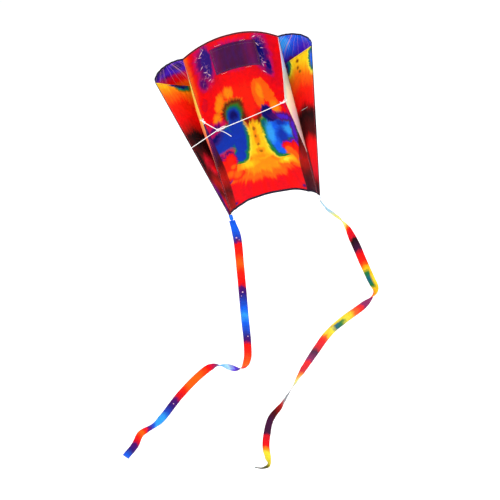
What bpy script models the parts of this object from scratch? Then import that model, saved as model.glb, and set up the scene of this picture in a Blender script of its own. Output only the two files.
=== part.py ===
"""Frameless pocket kite: bowed centre panel, two tapering air cells, two keels, bridle and two ribbon tails.

Metres, +Z from the trailing edge to the leading edge, -Y towards the flyer, +X to the right as the flyer
sees it. The origin is the middle of the tow loop. Cloth is drawn 1 mm thick so that it makes solids.
"""

import math

import bmesh
import bpy
import numpy as np
from mathutils import Vector

for old in list(bpy.data.objects):
    bpy.data.objects.remove(old, do_unlink=True)

# Driving dimensions, in metres. Sail figures are taken from the sail's own datum, which is the
# point midway between the two seams at the leading edge.
SAIL_DATUM = Vector((0.217, 0.331, 0.171))
CHORD = 0.660
HALF_SPAN = 0.165
BOW_LEADING = 0.102
BOW_TRAILING = 0.074
BOW_SQUARENESS = (2.2, 2.9)
CELL_CORNER = (0.268, -0.063, -0.033)
CELL_TIP = (0.1725, -0.0055, -0.660)
UPPER_FULLNESS = (0.36, 0.30)
LOWER_FULLNESS = (-0.09, -0.10)
LIP_AT_SEAM = 0.108
CLOTH = 0.0010
GAP = 0.0003
BINDING_WIDTH = 0.005
BINDING_THICK = 0.0020
SEAM_CORD_R = 0.0011
SEAM_CLEAR = 0.0017
HINGE_CLEAR = 0.0035
EDGE_CORD_R = 0.0012
EDGE_CLEAR = 0.0018
POCKET_SPAN = 0.42
POCKET_TOP = 0.032
POCKET_DEPTH = 0.098
KEEL_LEAN = math.radians(8.6)
KEEL_DEPTH = 0.1436
KEEL_TIP = 0.167
KEEL_END = 0.473
KEEL_HOLLOW = 0.009
KEEL_TIP_PATCH = 0.020
HEM_WIDTH = 0.005
EYELET_R = 0.0019
EYELET_INSET = 0.006
TIE_LOOP_R = 0.0052
TIE_CORD_R = 0.0010
BRIDLE_R = 0.0012
KNOT = Vector((-0.090, -0.225, -0.171))
KNOT_SCALE = 0.0015
KNOT_REACH = 0.0062
LEADER_DIRECTION = Vector((-0.770, -0.638, 0.0)).normalized()
LEADER_REACH = 0.165
TOW_LOOP_HALF = (0.015, 0.006)
TAB_WIDTH = 0.014
TAB_LENGTH = 0.026
TAB_THICK = 0.0016
TAB_X = 0.1685
TAB_Y = -0.003
TAB_TOP = 0.6615
TAIL_WIDTH = 0.032
TAIL_NECK = 0.006
TAIL_NECK_LENGTH = 0.075
TAIL_THICK = 0.0010
TAIL_HEM = 0.008

# Route of each tail from its tab, as x, y and z from the sail datum, and how far the printed face
# has turned from the flyer there, in degrees.
LEFT_TAIL = (
    (-0.1685, -0.003, -0.6900, 0),
    (-0.170, 0.000, -0.770, 4),
    (-0.191, 0.006, -0.900, -4),
    (-0.214, 0.000, -1.033, 0),
    (-0.235, -0.006, -1.153, 4),
    (-0.258, -0.004, -1.290, 0),
    (-0.282, 0.004, -1.386, 20),
    (-0.316, 0.018, -1.442, 70),
    (-0.350, 0.020, -1.434, 122),
    (-0.386, 0.008, -1.398, 100),
    (-0.432, -0.004, -1.378, 26),
    (-0.484, -0.008, -1.402, 4),
    (-0.600, 0.000, -1.500, 0),
    (-0.718, 0.010, -1.622, -10),
    (-0.768, 0.014, -1.660, -58),
    (-0.830, 0.004, -1.682, -28),
    (-0.872, -0.004, -1.734, 0),
    (-0.934, -0.002, -1.794, 6),
)
RIGHT_TAIL = (
    (0.1685, -0.003, -0.6900, 112),
    (0.184, 0.002, -0.730, 114),
    (0.216, 0.008, -0.786, 116),
    (0.240, 0.006, -0.838, 60),
    (0.258, 0.000, -0.918, 16),
    (0.271, -0.004, -1.006, 0),
    (0.285, 0.000, -1.097, -8),
    (0.292, 0.008, -1.161, -30),
    (0.272, 0.014, -1.204, -110),
    (0.228, 0.010, -1.238, -164),
    (0.148, 0.000, -1.276, -176),
    (0.076, -0.004, -1.324, -170),
    (0.010, 0.000, -1.400, -172),
    (-0.062, 0.006, -1.494, -150),
    (-0.128, 0.008, -1.584, -102),
    (-0.204, 0.004, -1.678, -62),
    (-0.266, 0.000, -1.744, -30),
    (-0.301, -0.004, -1.822, -6),
    (-0.325, 0.000, -1.903, 0),
    (-0.335, 0.006, -1.981, -24),
    (-0.345, 0.004, -2.028, -66),
    (-0.370, -0.004, -2.030, -96),
    (-0.402, -0.006, -2.012, -100),
)

kite = bpy.data.collections.new("pocket_kite")
bpy.context.scene.collection.children.link(kite)
cutters = bpy.data.collections.new("cutters")
bpy.context.scene.collection.children.link(cutters)
cutters.hide_render = True


def finish_of(name, colour, roughness, metallic=0.0):
    material = bpy.data.materials.new(name)
    material.use_nodes = True
    shader = material.node_tree.nodes["Principled BSDF"]
    shader.inputs["Base Color"].default_value = (*colour, 1.0)
    shader.inputs["Roughness"].default_value = roughness
    shader.inputs["Metallic"].default_value = metallic
    return material


RED = (0.72, 0.03, 0.02)
PLUM = (0.075, 0.015, 0.045)
NAVY = (0.015, 0.012, 0.035)
WHITE = (0.85, 0.85, 0.84)
SHADES = {
    "center_panel": (RED, 0.62),
    "upper_skin": ((0.16, 0.06, 0.50), 0.62),
    "lower_skin": ((0.80, 0.16, 0.02), 0.62),
    "keel_panel": ((0.78, 0.30, 0.20), 0.66),
    "stow_pocket": (PLUM, 0.55),
    "binding": (NAVY, 0.70),
    "seam_cord": (NAVY, 0.72),
    "keel_hem": ((0.55, 0.10, 0.12), 0.70),
    "tip_patch": (NAVY, 0.60),
    "bridle_cord": (WHITE, 0.78),
    "tail_tab": (NAVY, 0.68),
    "left_tail": ((0.12, 0.16, 0.72), 0.58),
    "right_tail": ((0.74, 0.12, 0.05), 0.58),
}


def place(obj, finish):
    """Links an object under its own copy of a named finish."""
    colour, roughness = SHADES[finish]
    obj.data.materials.append(finish_of(obj.name + "_finish", colour, roughness))
    kite.objects.link(obj)
    return obj


def mesh_object(name, vertices, faces, finish, smooth=True):
    mesh = bpy.data.meshes.new(name)
    mesh.from_pydata([tuple(v) for v in vertices], [], faces)
    mesh.update()
    for face in mesh.polygons:
        face.use_smooth = smooth
    return place(bpy.data.objects.new(name, mesh), finish)


def thicken(obj, thick):
    solid = obj.modifiers.new("cloth_thickness", "SOLIDIFY")
    solid.thickness = thick
    solid.offset = 0.0
    solid.use_even_offset = True
    return obj


def cloth(name, surface, across, along, thick, finish):
    """A sheet whose points come from surface(u, v), both 0 to 1, made a solid of even thickness."""
    vertices = []
    for j in range(along + 1):
        for i in range(across + 1):
            vertices.append(surface(i / across, j / along) + SAIL_DATUM)
    faces = []
    row = across + 1
    for j in range(along):
        for i in range(across):
            a = j * row + i
            faces.append((a, a + 1, a + row + 1, a + row))
    return thicken(mesh_object(name, vertices, faces, finish), thick)


def flat_piece(name, outline, to_space, thick, finish):
    """A flat cut piece with the given outline, made a solid of even thickness."""
    vertices = [to_space(a, b) + SAIL_DATUM for a, b in outline]
    faces = [tuple(range(len(vertices)))]
    return thicken(mesh_object(name, vertices, faces, finish, smooth=False), thick)


def cord(name, points, radius, finish, closed=False):
    curve = bpy.data.curves.new(name, "CURVE")
    curve.dimensions = "3D"
    curve.bevel_depth = radius
    curve.bevel_resolution = 2
    curve.use_fill_caps = not closed
    spline = curve.splines.new("POLY")
    spline.points.add(len(points) - 1)
    for target, point in zip(spline.points, points, strict=True):
        target.co = (*(Vector(point) + SAIL_DATUM), 1.0)
    spline.use_cyclic_u = closed
    return place(bpy.data.objects.new(name, curve), finish)


def mix(a, b, t):
    return a + (b - a) * t


def arc_point(start, end, fullness, t):
    """A point on the circular arc over a chord. fullness is rise over chord, to the left of its run."""
    start = np.array(start, float)
    end = np.array(end, float)
    chord = end - start
    length = float(np.hypot(*chord))
    half = 2.0 * math.atan(2.0 * abs(fullness))
    radius = length / (2.0 * math.sin(half))
    angle = (2.0 * t - 1.0) * half
    along = 0.5 * length + radius * math.sin(angle)
    rise = radius * (math.cos(angle) - math.cos(half))
    forward = chord / length
    left = np.array((-forward[1], forward[0]))
    spot = start + forward * along + left * rise * math.copysign(1.0, fullness)
    return spot, 2.0 * half * radius


def share(z):
    return min(max(-z / CHORD, 0.0), 1.0)


def center_section(z, t):
    """A point of the centre panel by its share of the way round the bow, seam to seam."""
    v = share(z)
    bow = mix(BOW_LEADING, BOW_TRAILING, v)
    power = mix(*BOW_SQUARENESS, v)
    angle = np.linspace(0.0, math.pi, 241)
    x = -HALF_SPAN * np.cos(angle)
    y = bow * (1.0 - np.abs(x / HALF_SPAN) ** power)
    far = np.concatenate(((0.0,), np.cumsum(np.hypot(np.diff(x), np.diff(y)))))
    wanted = mix(SEAM_CLEAR, far[-1] - SEAM_CLEAR, t)
    return Vector((np.interp(wanted, far, x), np.interp(wanted, far, y), z))


def cell_edge(z):
    """The cell's outer edge at a station, as x and y on the right-hand side."""
    f = (CELL_CORNER[2] - z) / (CELL_CORNER[2] - CELL_TIP[2])
    return mix(CELL_CORNER[0], CELL_TIP[0], f), mix(CELL_CORNER[1], CELL_TIP[1], f)


def cell_section(side, z, t, fullness):
    ratio = mix(fullness[0], fullness[1], share(z))
    edge = cell_edge(z)
    _, length = arc_point((HALF_SPAN, 0.0), edge, ratio, 0.5)
    first = (SEAM_CLEAR if ratio > 0.0 else HINGE_CLEAR) / length
    last = 1.0 - EDGE_CLEAR / length
    spot, _ = arc_point((HALF_SPAN, 0.0), edge, ratio, mix(first, last, t))
    return Vector((side * spot[0], spot[1], z))


def ordered(side, t):
    """Keeps a sheet's faces turned the same way on both sides of the kite."""
    return t if side > 0 else 1.0 - t


# Centre panel, its bindings and the stow pocket, which is sewn to the flyer's face.
def center_part(top, bottom):
    return lambda u, v: center_section(mix(-top, -bottom, v), u)


cloth(
    "center_panel",
    center_part(BINDING_WIDTH + GAP, CHORD - BINDING_WIDTH - GAP),
    18,
    12,
    CLOTH,
    "center_panel",
)
cloth("center_leading_binding", center_part(0.0, BINDING_WIDTH), 18, 1, BINDING_THICK, "binding")
cloth(
    "center_trailing_binding",
    center_part(CHORD - BINDING_WIDTH, CHORD),
    18,
    1,
    BINDING_THICK,
    "binding",
)


def pocket_surface(u, v):
    z = -mix(POCKET_TOP, POCKET_TOP + POCKET_DEPTH, v)
    half = POCKET_SPAN * 0.5
    t = 0.5 + mix(-half, half, u)
    here = center_section(z, t)
    ahead = center_section(z, t + 0.001)
    run = (ahead - here).normalized()
    towards_flyer = Vector((run.y, -run.x, 0.0))
    return here + towards_flyer * (CLOTH + 3.0 * GAP)


cloth("stow_pocket", pocket_surface, 10, 3, CLOTH, "stow_pocket")


def cell_part(side, top, bottom, fullness):
    """top and bottom give the sheet's ends as z for a share of the way to the cell's outer edge."""
    return lambda u, v: cell_section(
        side, mix(top(ordered(side, u)), bottom(ordered(side, u)), v), ordered(side, u), fullness
    )


def upper_start(t):
    return CELL_CORNER[2] * t


def lip_start(t):
    return mix(-LIP_AT_SEAM, CELL_CORNER[2], t)


def lowered(start, drop):
    return lambda t: start(t) - drop


def cell_end(t):
    return -CHORD


def keel_point(side, d, z):
    """A point of a keel from its distance out from the seam and its station."""
    x = HALF_SPAN - d * math.sin(KEEL_LEAN)
    return Vector((side * x, -d * math.cos(KEEL_LEAN), z))


def keel_normal(side):
    return Vector((side * math.cos(KEEL_LEAN), -math.sin(KEEL_LEAN), 0.0))


def keel_edge(front, s, inset):
    """The keel's front or rear edge from the sail, s = 0, to the tip, moved inwards by inset."""
    root = (0.0, 0.0) if front else (0.0, -KEEL_END)
    tip = (KEEL_DEPTH, -KEEL_TIP)
    run = np.array(tip) - np.array(root)
    length = float(np.hypot(*run))
    forward = run / length
    inward = np.array((forward[1], -forward[0])) if front else np.array((-forward[1], forward[0]))
    hollow = KEEL_HOLLOW * 4.0 * s * (1.0 - s) if front else 0.0
    return np.array(root) + forward * length * s + inward * (hollow + inset)


def edge_share_at(front, depth, inset):
    """How far along an edge its inset line reaches a given distance from the seam."""
    low, high = 0.0, 1.0
    for _ in range(40):
        middle = 0.5 * (low + high)
        if keel_edge(front, middle, inset)[0] < depth:
            low = middle
        else:
            high = middle
    return 0.5 * (low + high)


PATCH_START = KEEL_DEPTH - KEEL_TIP_PATCH
SEAM_SIDE = HINGE_CLEAR


def keel_line(front, inset, near, far, count=9):
    first = edge_share_at(front, near, inset)
    last = edge_share_at(front, far, inset)
    return [tuple(keel_edge(front, mix(first, last, i / count), inset)) for i in range(count + 1)]


def build_keel(side, word):
    def space(a, b):
        return keel_point(side, a, b)

    inset = HEM_WIDTH + GAP
    front = keel_line(True, inset, SEAM_SIDE, PATCH_START - GAP)
    rear = keel_line(False, inset, SEAM_SIDE, PATCH_START - GAP, 2)
    flat_piece(word + "_keel_panel", front + rear[::-1], space, CLOTH, "keel_panel")
    for is_front, label, count in ((True, "front", 9), (False, "rear", 2)):
        outer = keel_line(is_front, 0.0, SEAM_SIDE, PATCH_START - GAP, count)
        inner = keel_line(is_front, HEM_WIDTH, SEAM_SIDE, PATCH_START - GAP, count)
        name = f"{word}_keel_{label}_hem"
        flat_piece(name, outer + inner[::-1], space, CLOTH * 1.5, "keel_hem")
    cap = keel_line(True, 0.0, PATCH_START, KEEL_DEPTH - 0.0012, 3)
    cap += keel_line(False, 0.0, PATCH_START, KEEL_DEPTH - 0.0012, 3)[::-1]
    patch = flat_piece(word + "_keel_tip_patch", cap, space, 0.0020, "tip_patch")
    hole = keel_point(side, KEEL_DEPTH - EYELET_INSET, -KEEL_TIP) + SAIL_DATUM
    bpy.ops.mesh.primitive_cylinder_add(vertices=24, radius=EYELET_R, depth=0.012, location=hole)
    cutter = bpy.context.object
    cutter.name = word + "_eyelet_cutter"
    cutter.rotation_mode = "QUATERNION"
    cutter.rotation_quaternion = keel_normal(side).to_track_quat("Z", "Y")
    for owner in list(cutter.users_collection):
        owner.objects.unlink(cutter)
    cutters.objects.link(cutter)
    cutter.hide_render = True
    cutter.display_type = "WIRE"
    cut = patch.modifiers.new("eyelet", "BOOLEAN")
    cut.operation = "DIFFERENCE"
    cut.solver = "EXACT"
    cut.object = cutter
    loop = []
    out = (keel_point(side, 1.0, 0.0) - keel_point(side, 0.0, 0.0)).normalized()
    middle = keel_point(side, KEEL_DEPTH - EYELET_INSET + TIE_LOOP_R, -KEEL_TIP)
    for i in range(24):
        turn = 2.0 * math.pi * i / 24
        loop.append(
            middle
            + out * TIE_LOOP_R * math.cos(turn)
            + keel_normal(side) * TIE_LOOP_R * math.sin(turn)
        )
    cord(word + "_keel_tie_loop", loop, TIE_CORD_R, "bridle_cord", closed=True)


def build_cell(side, word):
    skin_top = BINDING_WIDTH + GAP
    cloth(
        word + "_upper_skin",
        cell_part(side, lowered(upper_start, skin_top), cell_end, UPPER_FULLNESS),
        9,
        12,
        CLOTH,
        "upper_skin",
    )
    cloth(
        word + "_cell_leading_binding",
        cell_part(side, upper_start, lowered(upper_start, BINDING_WIDTH), UPPER_FULLNESS),
        9,
        1,
        BINDING_THICK,
        "binding",
    )
    cloth(
        word + "_lower_skin",
        cell_part(side, lowered(lip_start, skin_top), cell_end, LOWER_FULLNESS),
        7,
        12,
        CLOTH,
        "lower_skin",
    )
    cloth(
        word + "_cell_lip_hem",
        cell_part(side, lip_start, lowered(lip_start, BINDING_WIDTH), LOWER_FULLNESS),
        7,
        1,
        CLOTH * 1.5,
        "binding",
    )
    edge = []
    for i in range(9):
        z = mix(CELL_CORNER[2], -CHORD, i / 8)
        x, y = cell_edge(z)
        edge.append((side * x, y, z))
    cord(word + "_cell_edge_cord", edge, EDGE_CORD_R, "binding")
    seam = [(side * HALF_SPAN, 0.0, -CHORD * i / 8) for i in range(9)]
    cord(word + "_seam_cord", seam, SEAM_CORD_R, "seam_cord")


for side, word in ((-1, "left"), (1, "right")):
    build_cell(side, word)
    build_keel(side, word)


# Bridle: two legs of one line, the knot that gathers them, its spare loop and tag end, and the leader.
def leg_start(side):
    d = KEEL_DEPTH - EYELET_INSET + 2.0 * TIE_LOOP_R + TIE_CORD_R + GAP + BRIDLE_R
    return keel_point(side, d, -KEEL_TIP)


def straight(start, end, step, sag=0.0):
    count = max(2, round((end - start).length / step))
    points = []
    for i in range(count + 1):
        t = i / count
        points.append(start.lerp(end, t) + Vector((0.0, 0.0, -4.0 * sag * t * (1.0 - t))))
    return points


for side, word in ((-1, "left"), (1, "right")):
    start = leg_start(side)
    end = KNOT + (start - KNOT).normalized() * KNOT_REACH
    cord(f"bridle_{word}_leg", straight(start, end, 0.007, 0.002), BRIDLE_R, "bridle_cord")

trefoil = []
for i in range(40):
    a = 2.0 * math.pi * i / 40
    trefoil.append(
        KNOT
        + KNOT_SCALE
        * Vector(
            (
                math.sin(a) + 2.0 * math.sin(2.0 * a),
                -math.sin(3.0 * a),
                math.cos(a) - 2.0 * math.cos(2.0 * a),
            )
        )
    )
cord("bridle_knot", trefoil, BRIDLE_R, "bridle_cord", closed=True)


def long_loop(center, along, across, half, count):
    points = []
    for i in range(count):
        a = 2.0 * math.pi * i / count
        points.append(center + along * half[0] * math.cos(a) + across * half[1] * math.sin(a))
    return points


spare_run = Vector((0.93, -0.15, 0.34)).normalized()
spare_rise = Vector((-0.34, 0.0, 0.93)).normalized()
spare_half = (0.0105, 0.0030)
cord(
    "bridle_spare_loop",
    long_loop(KNOT + spare_run * (0.0075 + spare_half[0]), spare_run, spare_rise, spare_half, 20),
    BRIDLE_R * 0.8,
    "bridle_cord",
    closed=True,
)
tag_run = Vector((0.90, -0.30, -0.31)).normalized()
tag = [KNOT + tag_run * (0.0066 + 0.006 * i) + Vector((0, 0, -0.0004 * i * i)) for i in range(7)]
cord("bridle_tag_end", tag, BRIDLE_R * 0.9, "bridle_cord")

tow = KNOT + LEADER_DIRECTION * LEADER_REACH
leader_from = KNOT + LEADER_DIRECTION * KNOT_REACH
leader_to = tow - LEADER_DIRECTION * (TOW_LOOP_HALF[0] + BRIDLE_R + GAP + 0.0002)
cord("leader_line", straight(leader_from, leader_to, 0.007), BRIDLE_R, "bridle_cord")
cord(
    "tow_loop",
    long_loop(tow, LEADER_DIRECTION, Vector((0.0, 0.0, 1.0)), TOW_LOOP_HALF, 28),
    BRIDLE_R,
    "bridle_cord",
    closed=True,
)


# Tails: a webbing tab at each trailing corner, and a ribbon that starts gathered at the tab's end.
def smooth_route(stations, count):
    """Points spaced evenly along a centripetal run through the stations, with the turn at each."""
    table = np.array(stations, float)
    table = np.vstack((2 * table[0] - table[1], table, 2 * table[-1] - table[-2]))
    dense = []
    for k in range(1, len(table) - 2):
        p0, p1, p2, p3 = table[k - 1], table[k], table[k + 1], table[k + 2]
        knots = [0.0]
        for a, b in ((p0, p1), (p1, p2), (p2, p3)):
            knots.append(knots[-1] + float(np.linalg.norm((b - a)[:3])) ** 0.5)
        t0, t1, t2, t3 = knots
        for i in range(12):
            t = mix(t1, t2, i / 12)
            a1 = p0 * (t1 - t) / (t1 - t0) + p1 * (t - t0) / (t1 - t0)
            a2 = p1 * (t2 - t) / (t2 - t1) + p2 * (t - t1) / (t2 - t1)
            a3 = p2 * (t3 - t) / (t3 - t2) + p3 * (t - t2) / (t3 - t2)
            b1 = a1 * (t2 - t) / (t2 - t0) + a2 * (t - t0) / (t2 - t0)
            b2 = a2 * (t3 - t) / (t3 - t1) + a3 * (t - t1) / (t3 - t1)
            dense.append(b1 * (t2 - t) / (t2 - t1) + b2 * (t - t1) / (t2 - t1))
    dense.append(table[-2])
    dense = np.array(dense)
    steps = np.linalg.norm(np.diff(dense[:, :3], axis=0), axis=1)
    far = np.concatenate(((0.0,), np.cumsum(steps)))
    wanted = np.linspace(0.0, far[-1], count + 1)
    return np.stack([np.interp(wanted, far, dense[:, c]) for c in range(4)], axis=1), wanted


FLYER = Vector((0.0, -0.86, 0.5)).normalized()


def ribbon_frame(route, i):
    """The ribbon's middle and its width direction at one station."""
    low = max(i - 1, 0)
    high = min(i + 1, len(route) - 1)
    run = Vector(route[high][:3] - route[low][:3]).normalized()
    side = run.cross(FLYER).normalized()
    face = side.cross(run)
    turn = math.radians(float(route[i][3]))
    return Vector(route[i][:3]), side * math.cos(turn) + face * math.sin(turn)


def build_tail(side, word, stations):
    space_tab = [
        (-TAB_WIDTH / 2, -TAB_TOP),
        (TAB_WIDTH / 2, -TAB_TOP),
        (TAB_WIDTH / 2, -TAB_TOP - TAB_LENGTH + 0.005),
        (0.0035, -TAB_TOP - TAB_LENGTH),
        (-0.0035, -TAB_TOP - TAB_LENGTH),
        (-TAB_WIDTH / 2, -TAB_TOP - TAB_LENGTH + 0.005),
    ]
    flat_piece(
        word + "_tail_tab",
        space_tab,
        lambda a, b: Vector((side * TAB_X + a, TAB_Y, b)),
        TAB_THICK,
        "tail_tab",
    )
    route, far = smooth_route(stations, 88)
    length = float(far[-1])

    def ribbon(first, last):
        def surface(u, v):
            where = mix(first, last, v) * 88
            low = min(int(where), 87)
            t = where - low
            middle_a, across_a = ribbon_frame(route, low)
            middle_b, across_b = ribbon_frame(route, low + 1)
            across = across_a.lerp(across_b, t).normalized()
            reached = where / 88 * length
            spread = min(reached / TAIL_NECK_LENGTH, 1.0)
            spread = spread * spread * (3.0 - 2.0 * spread)
            width = mix(TAIL_NECK, TAIL_WIDTH, spread)
            return middle_a.lerp(middle_b, t) + across * width * (u - 0.5)

        return surface

    hem_start = 1.0 - TAIL_HEM / length
    finish = word + "_tail"
    cloth(
        word + "_tail_ribbon",
        ribbon(0.0, hem_start - GAP / length),
        2,
        88,
        TAIL_THICK,
        finish,
    )
    cloth(word + "_tail_end_hem", ribbon(hem_start, 1.0), 2, 2, TAIL_THICK * 1.5, finish)


build_tail(-1, "left", LEFT_TAIL)
build_tail(1, "right", RIGHT_TAIL)
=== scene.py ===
"""Looks of the frameless pocket kite: printed ripstop sail, sewn edges, braided bridle and ribbon tails.

Metres throughout. The sail's shape formulas repeat the ones that made the frame, from the sail's own
datum, which is midway between the two seams at the leading edge. Cloth coordinates run across a panel
(0 to 1) and from its leading edge to its trailing edge (0 to 1).
"""

import math

import bmesh
import bpy
import numpy as np
from mathutils import Matrix, Vector


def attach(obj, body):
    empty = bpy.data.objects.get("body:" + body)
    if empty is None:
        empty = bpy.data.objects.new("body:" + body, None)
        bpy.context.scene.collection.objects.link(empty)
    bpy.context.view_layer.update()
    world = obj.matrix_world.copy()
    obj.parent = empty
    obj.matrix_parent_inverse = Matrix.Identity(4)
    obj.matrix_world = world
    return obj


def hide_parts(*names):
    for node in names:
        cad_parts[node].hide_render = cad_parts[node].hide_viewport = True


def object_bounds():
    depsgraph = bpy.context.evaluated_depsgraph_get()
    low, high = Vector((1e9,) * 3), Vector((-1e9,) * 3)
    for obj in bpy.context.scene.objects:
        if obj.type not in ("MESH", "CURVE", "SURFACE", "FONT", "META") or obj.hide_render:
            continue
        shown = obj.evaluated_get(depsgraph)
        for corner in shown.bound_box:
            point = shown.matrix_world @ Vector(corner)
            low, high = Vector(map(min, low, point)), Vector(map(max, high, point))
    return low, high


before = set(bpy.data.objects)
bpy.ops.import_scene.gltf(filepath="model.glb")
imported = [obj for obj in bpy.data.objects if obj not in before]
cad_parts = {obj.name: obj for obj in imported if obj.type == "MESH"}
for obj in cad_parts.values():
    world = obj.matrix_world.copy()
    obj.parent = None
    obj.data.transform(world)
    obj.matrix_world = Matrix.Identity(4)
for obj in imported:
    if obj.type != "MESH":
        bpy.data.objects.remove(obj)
cad_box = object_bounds()

# The sail's shape, as in the frame.
SAIL_DATUM = np.array((0.217, 0.331, 0.171))
CHORD = 0.660
HALF_SPAN = 0.165
BOW = (0.102, 0.074)
BOW_SQUARENESS = (2.2, 2.9)
CELL_CORNER = (0.268, -0.063, -0.033)
CELL_TIP = (0.1725, -0.0055, -0.660)
UPPER_FULLNESS = (0.36, 0.30)
LOWER_FULLNESS = (-0.09, -0.10)
LIP_AT_SEAM = 0.108
SEAM_CLEAR = 0.0006
EDGE_CLEAR = 0.0008
KEEL_LEAN = math.radians(8.6)
KEEL_DEPTH = 0.1436
KEEL_TIP = 0.167
KEEL_END = 0.473
KEEL_HOLLOW = 0.009
KEEL_CLEAR = 0.0020
EYELET_INSET = 0.006
TIE_LOOP_R = 0.0052
TIE_CORD_R = 0.0010
BRIDLE_R = 0.0012
KNOT = np.array((-0.090, -0.225, -0.171))
KNOT_SCALE = 0.0015
KNOT_REACH = 0.0062
LEADER_DIRECTION = np.array((-0.770, -0.638, 0.0)) / math.hypot(0.770, 0.638)
LEADER_REACH = 0.165
TOW_LOOP_HALF = (0.015, 0.006)
TAB_WIDTH = 0.014
TAB_LENGTH = 0.026
TAB_X = 0.1685
TAB_Y = -0.003
TAB_TOP = 0.6615
TAIL_WIDTH = 0.032
TAIL_NECK = {"left": 0.023, "right": 0.010}
TAIL_NECK_LENGTH = 0.075
TAIL_HEM = 0.008
POCKET_TOP = 0.032
POCKET_DEPTH = 0.098
POCKET_SPAN = 0.42

# Cloth and sewing.
CLOTH = 0.00045
BINDING_WIDTH = 0.005
TAPE = 0.00035
STITCH_PITCH = 0.0034
STITCH_LENGTH = 0.0025
THREAD_R = 0.00028
BRAID_STEP = 0.00042
BRAID_LAY = 0.0062
EYELET_R = 0.0019
PATCH_HALF = 0.00095
TAPE_STITCH_INSET = 0.0013

# Height over width of each panel's print.
CENTER_TALL = 1.62
UPPER_TALL = 5.5
LOWER_TALL = 6.0
KEEL_TALL = 3.0

# Each tail's route from its tab: x, y, z and how far the printed face has turned, in degrees.
LEFT_TAIL = (
    (-0.1685, -0.003, -0.6900, 0),
    (-0.170, 0.000, -0.770, 4),
    (-0.191, 0.006, -0.900, -4),
    (-0.214, 0.000, -1.033, 0),
    (-0.235, -0.006, -1.153, 4),
    (-0.258, -0.004, -1.290, 0),
    (-0.282, 0.004, -1.386, 20),
    (-0.316, 0.018, -1.442, 70),
    (-0.350, 0.020, -1.434, 122),
    (-0.386, 0.008, -1.398, 100),
    (-0.432, -0.004, -1.378, 26),
    (-0.484, -0.008, -1.402, 4),
    (-0.600, 0.000, -1.500, 0),
    (-0.718, 0.010, -1.622, -10),
    (-0.768, 0.014, -1.660, -58),
    (-0.830, 0.004, -1.682, -28),
    (-0.872, -0.004, -1.734, 0),
    (-0.934, -0.002, -1.794, 6),
)
RIGHT_TAIL = (
    (0.1685, -0.003, -0.6900, 112),
    (0.184, 0.002, -0.730, 114),
    (0.216, 0.008, -0.786, 116),
    (0.240, 0.006, -0.838, 60),
    (0.258, 0.000, -0.918, 16),
    (0.271, -0.004, -1.006, 0),
    (0.285, 0.000, -1.097, -8),
    (0.292, 0.008, -1.161, -30),
    (0.272, 0.014, -1.204, -110),
    (0.228, 0.010, -1.238, -164),
    (0.148, 0.000, -1.276, -176),
    (0.076, -0.004, -1.324, -170),
    (0.010, 0.000, -1.400, -172),
    (-0.062, 0.006, -1.494, -150),
    (-0.128, 0.008, -1.584, -102),
    (-0.204, 0.004, -1.678, -62),
    (-0.266, 0.000, -1.744, -30),
    (-0.301, -0.004, -1.822, -6),
    (-0.325, 0.000, -1.903, 0),
    (-0.335, 0.006, -1.981, -24),
    (-0.345, 0.004, -2.028, -66),
    (-0.370, -0.004, -2.030, -96),
    (-0.402, -0.006, -2.012, -100),
)


def mix(a, b, t):
    return a + (b - a) * t


def smooth(x):
    x = np.clip(x, 0.0, 1.0)
    return x * x * (3.0 - 2.0 * x)


def unit(a):
    return a / np.maximum(np.linalg.norm(a, axis=-1, keepdims=True), 1e-12)


def circle(count):
    """Angles evenly round a full turn."""
    return 2.0 * math.pi * np.arange(count) / count


def far_along(points):
    """How far along a path each of its points lies."""
    return np.concatenate(((0.0,), np.cumsum(np.linalg.norm(np.diff(points, axis=0), axis=1))))


def read_path(at, far, table):
    """Every column of a table of stations, read at distances along its path."""
    return np.stack([np.interp(at, far, column) for column in table.T], -1)


def value_noise(x, y, seed):
    """Smooth noise from -1 to 1, one feature to each unit of x and y."""
    lattice = np.random.default_rng(seed).uniform(-1.0, 1.0, (61, 61))
    xi, yi = np.floor(x).astype(int), np.floor(y).astype(int)
    fx, fy = smooth(x - xi), smooth(y - yi)

    def at(i, j):
        return lattice[(yi + j) % 61, (xi + i) % 61]

    return mix(mix(at(0, 0), at(1, 0), fx), mix(at(0, 1), at(1, 1), fx), fy)


def crumple(x, y, seed):
    """Handled cloth: soft swells with sharper creases across them, about -1 to 1."""
    a, b = 0.8 * x + 0.6 * y, -0.6 * x + 0.8 * y
    swell = value_noise(x * 14, y * 14, seed)
    crease = 1.0 - 2.2 * np.abs(value_noise(a * 21, b * 21, seed + 1))
    fine = 1.0 - 2.2 * np.abs(value_noise(b * 52, a * 52, seed + 2))
    return 0.55 * swell + 0.30 * crease + 0.15 * fine


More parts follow.
